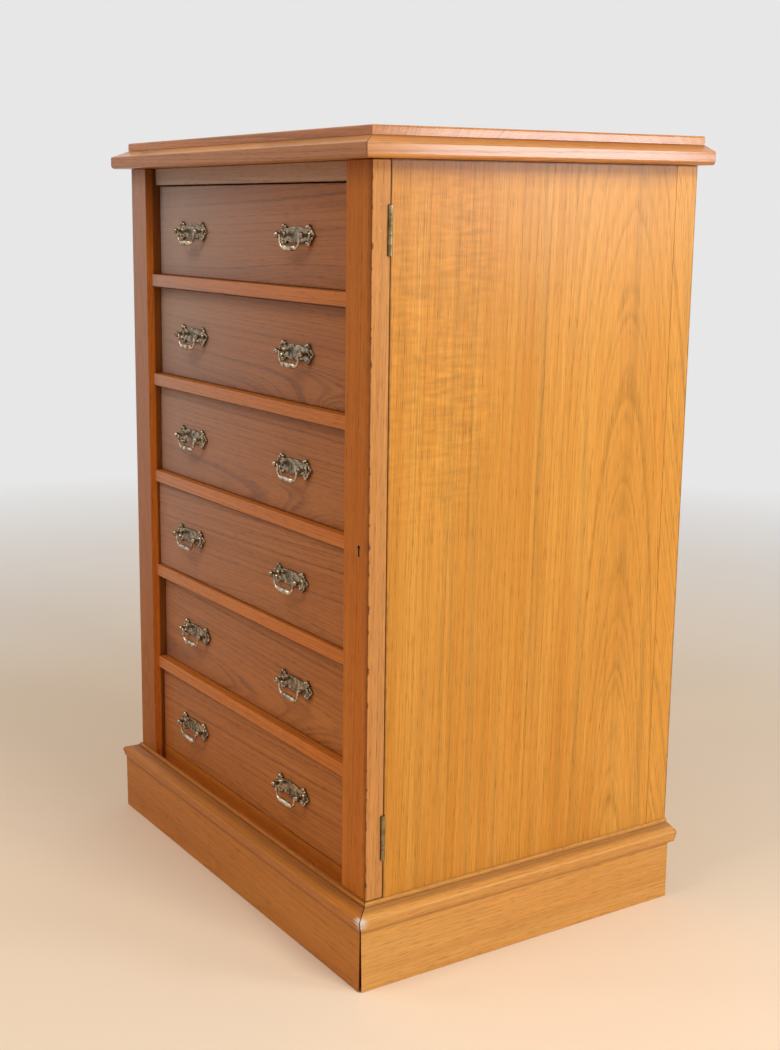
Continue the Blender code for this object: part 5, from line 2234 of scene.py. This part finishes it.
SOFT_BOXES = (
    SoftBox("right_box", (2.6, 0.3, 2.7), (0.3, 0.1, 0.5), (1.0, 1.0), 48.0, (1.0, 0.95, 0.87)),
    SoftBox("window_box", (2.25, 1.62, 1.15), (0.3, 0.0, 1.0), (0.8, 0.4), 24.0, (0.90, 0.92, 1.0)),
    SoftBox("fill_box", (0.15, -2.0, 3.2), (0.0, -0.25, 0.6), (1.0, 1.0), 27.0, (1.0, 0.93, 0.85)),
    SoftBox("front_box", (-2.6, -2.4, 2.6), (0.0, -0.2, 0.8), (2.0, 2.0), 8.0, (1.0, 0.92, 0.84)),
    SoftBox("spark", (-1.3, -2.6, 2.3), (0.0, -0.2, 0.6), (0.45, 0.45), 10.0, (1.0, 0.92, 0.82)),
    SoftBox("top_box", (0.0, 0.0, 3.6), (0.0, 0.0, 0.0), (3.0, 3.0), 20.0, (1.0, 1.0, 1.0)),
)


def seen_share(tree: bpy.types.NodeTree) -> Socket:
    """1 for a ray that shows the backdrop: from the camera, off a gloss, or through glass.

    Args:
        tree: The node tree to add the test to.

    Returns:
        The share.
    """
    path = tree.nodes.new("ShaderNodeLightPath")
    total = path.outputs["Is Camera Ray"]
    for kind in ("Is Glossy Ray", "Is Transmission Ray"):
        step = tree.nodes.new("ShaderNodeMath")
        step.operation = "MAXIMUM"
        tree.links.new(total, step.inputs[0])
        tree.links.new(path.outputs[kind], step.inputs[1])
        total = step.outputs[0]
    return total


@dataclass
class Studio:
    """A plain pale floor, soft light and the camera at the photograph's angle.

    Attributes:
        eye: The camera's place.
        yaw: Degrees that it looks to the left of straight back.
        pitch: Degrees that it looks down.
        roll: Degrees that it is turned about its own line of sight.
        focal_share: Focal length over the picture's height.
        sensor: Height of the sensor in millimetres.
        shift: Shift of the picture, which the photograph's crop needs.
        floor_size: Side of the floor.
        floor_colour: Colour of the floor.
        backdrop: Colour of the background, and of the floor far off.
        fade: Distances between which the floor fades into the background.
        surround: Colour of the even light from all sides.
        surround_strength: Strength of that light.
    """

    eye: Place = (1.8412, -1.2503, 1.0049)
    yaw: float = 58.54
    pitch: float = 10.98
    roll: float = 0.187
    focal_share: float = 1481.5 / 1050
    sensor: float = 36.0
    shift: Pair = (0.0695, -0.0300)
    floor_size: float = 60.0
    floor_colour: Colour = (0.88, 0.71, 0.53)
    backdrop: Colour = (0.80, 0.80, 0.80)
    fade: Pair = (1.0, 3.4)
    surround: Colour = (0.92, 0.95, 1.0)
    surround_strength: float = 0.31

    def build(self) -> None:
        """Makes the floor, the light and the camera."""
        self.floor()
        for box in SOFT_BOXES:
            box.hang()
        self.world()
        self.camera()
        bpy.context.scene.view_settings.view_transform = "Standard"

    def floor(self) -> None:
        """A large pale floor, marked as stage."""
        deselect_all()
        bpy.ops.mesh.primitive_plane_add(size=self.floor_size, location=(0.0, 0.0, 0.0))
        obj = settle("floor")
        shade = Shading("pale_floor")
        shade.set("Base Color", self.floor_colour)
        shade.set("Roughness", 0.9)
        shade.set("Specular IOR Level", 0.1)
        far = shade.remap(shade.vector("LENGTH", shade.place()), *self.fade, 0.0, 1.0)
        share = shade.math("MULTIPLY", far, seen_share(shade.tree))
        glow = shade.add("ShaderNodeEmission", {"Color": self.backdrop, "Strength": 1.0})
        layers = {0: share, 1: shade.surface.outputs[0], 2: glow.outputs[0]}
        mixed = shade.add("ShaderNodeMixShader", layers)
        shade.feed(shade.tree.nodes["Material Output"].inputs["Surface"], mixed.outputs[0])
        obj.data.materials.append(shade.material)
        obj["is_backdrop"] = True

    def world(self) -> None:
        """An even surround that lights the chest, behind the plain backdrop that is seen."""
        world = bpy.data.worlds.new("surround")
        world.use_nodes = True
        tree = world.node_tree
        back = tree.nodes["Background"]
        back.inputs["Color"].default_value = (*self.surround, 1.0)
        back.inputs["Strength"].default_value = self.surround_strength
        seen = tree.nodes.new("ShaderNodeBackground")
        seen.inputs["Color"].default_value = (*self.backdrop, 1.0)
        share = tree.nodes.new("ShaderNodeMixShader")
        for index, socket in enumerate((seen_share(tree), back.outputs[0], seen.outputs[0])):
            tree.links.new(socket, share.inputs[index])
        tree.links.new(share.outputs[0], tree.nodes["World Output"].inputs["Surface"])
        bpy.context.scene.world = world

    def camera(self) -> None:
        """The camera, at the photograph's place and with its framing."""
        data = bpy.data.cameras.new("camera")
        data.sensor_fit = "VERTICAL"
        data.sensor_height = self.sensor
        data.lens = self.sensor * self.focal_share
        data.shift_x, data.shift_y = self.shift
        data.clip_start = 0.05
        obj = bpy.data.objects.new("camera", data)
        yaw, pitch = math.radians(self.yaw), math.radians(self.pitch)
        look = Vector(
            (-math.sin(yaw) * math.cos(pitch), math.cos(yaw) * math.cos(pitch), -math.sin(pitch))
        )
        turn = look.to_track_quat("-Z", "Y").to_matrix().to_4x4()
        roll = Matrix.Rotation(math.radians(self.roll), 4, "Z")
        obj.matrix_world = Matrix.Translation(self.eye) @ turn @ roll
        bpy.context.scene.collection.objects.link(obj)
        bpy.context.scene.camera = obj


def write_sizes() -> None:
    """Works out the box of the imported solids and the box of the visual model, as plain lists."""
    boxes = {"cad": CAD_BOUNDS, "visual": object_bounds()}
    plain = {name: [list(corner) for corner in box] for name, box in boxes.items()}


def main() -> None:
    """Builds the chest from the ground up, then the studio."""
    logging.basicConfig(level=logging.INFO, format="%(name)s: %(message)s")
    planes = Planes()
    handle = Handle()
    handle.build()
    Plinth(planes).build()
    Carcass(planes).build()
    TopWork(planes).build()
    FlapWork(planes).build()
    DrawerWork(handle).build()
    discard(*handle.models.values())
    CarriedSolids().dress()
    Studio().build()
    write_sizes()


if __name__ == "__main__":
    main()
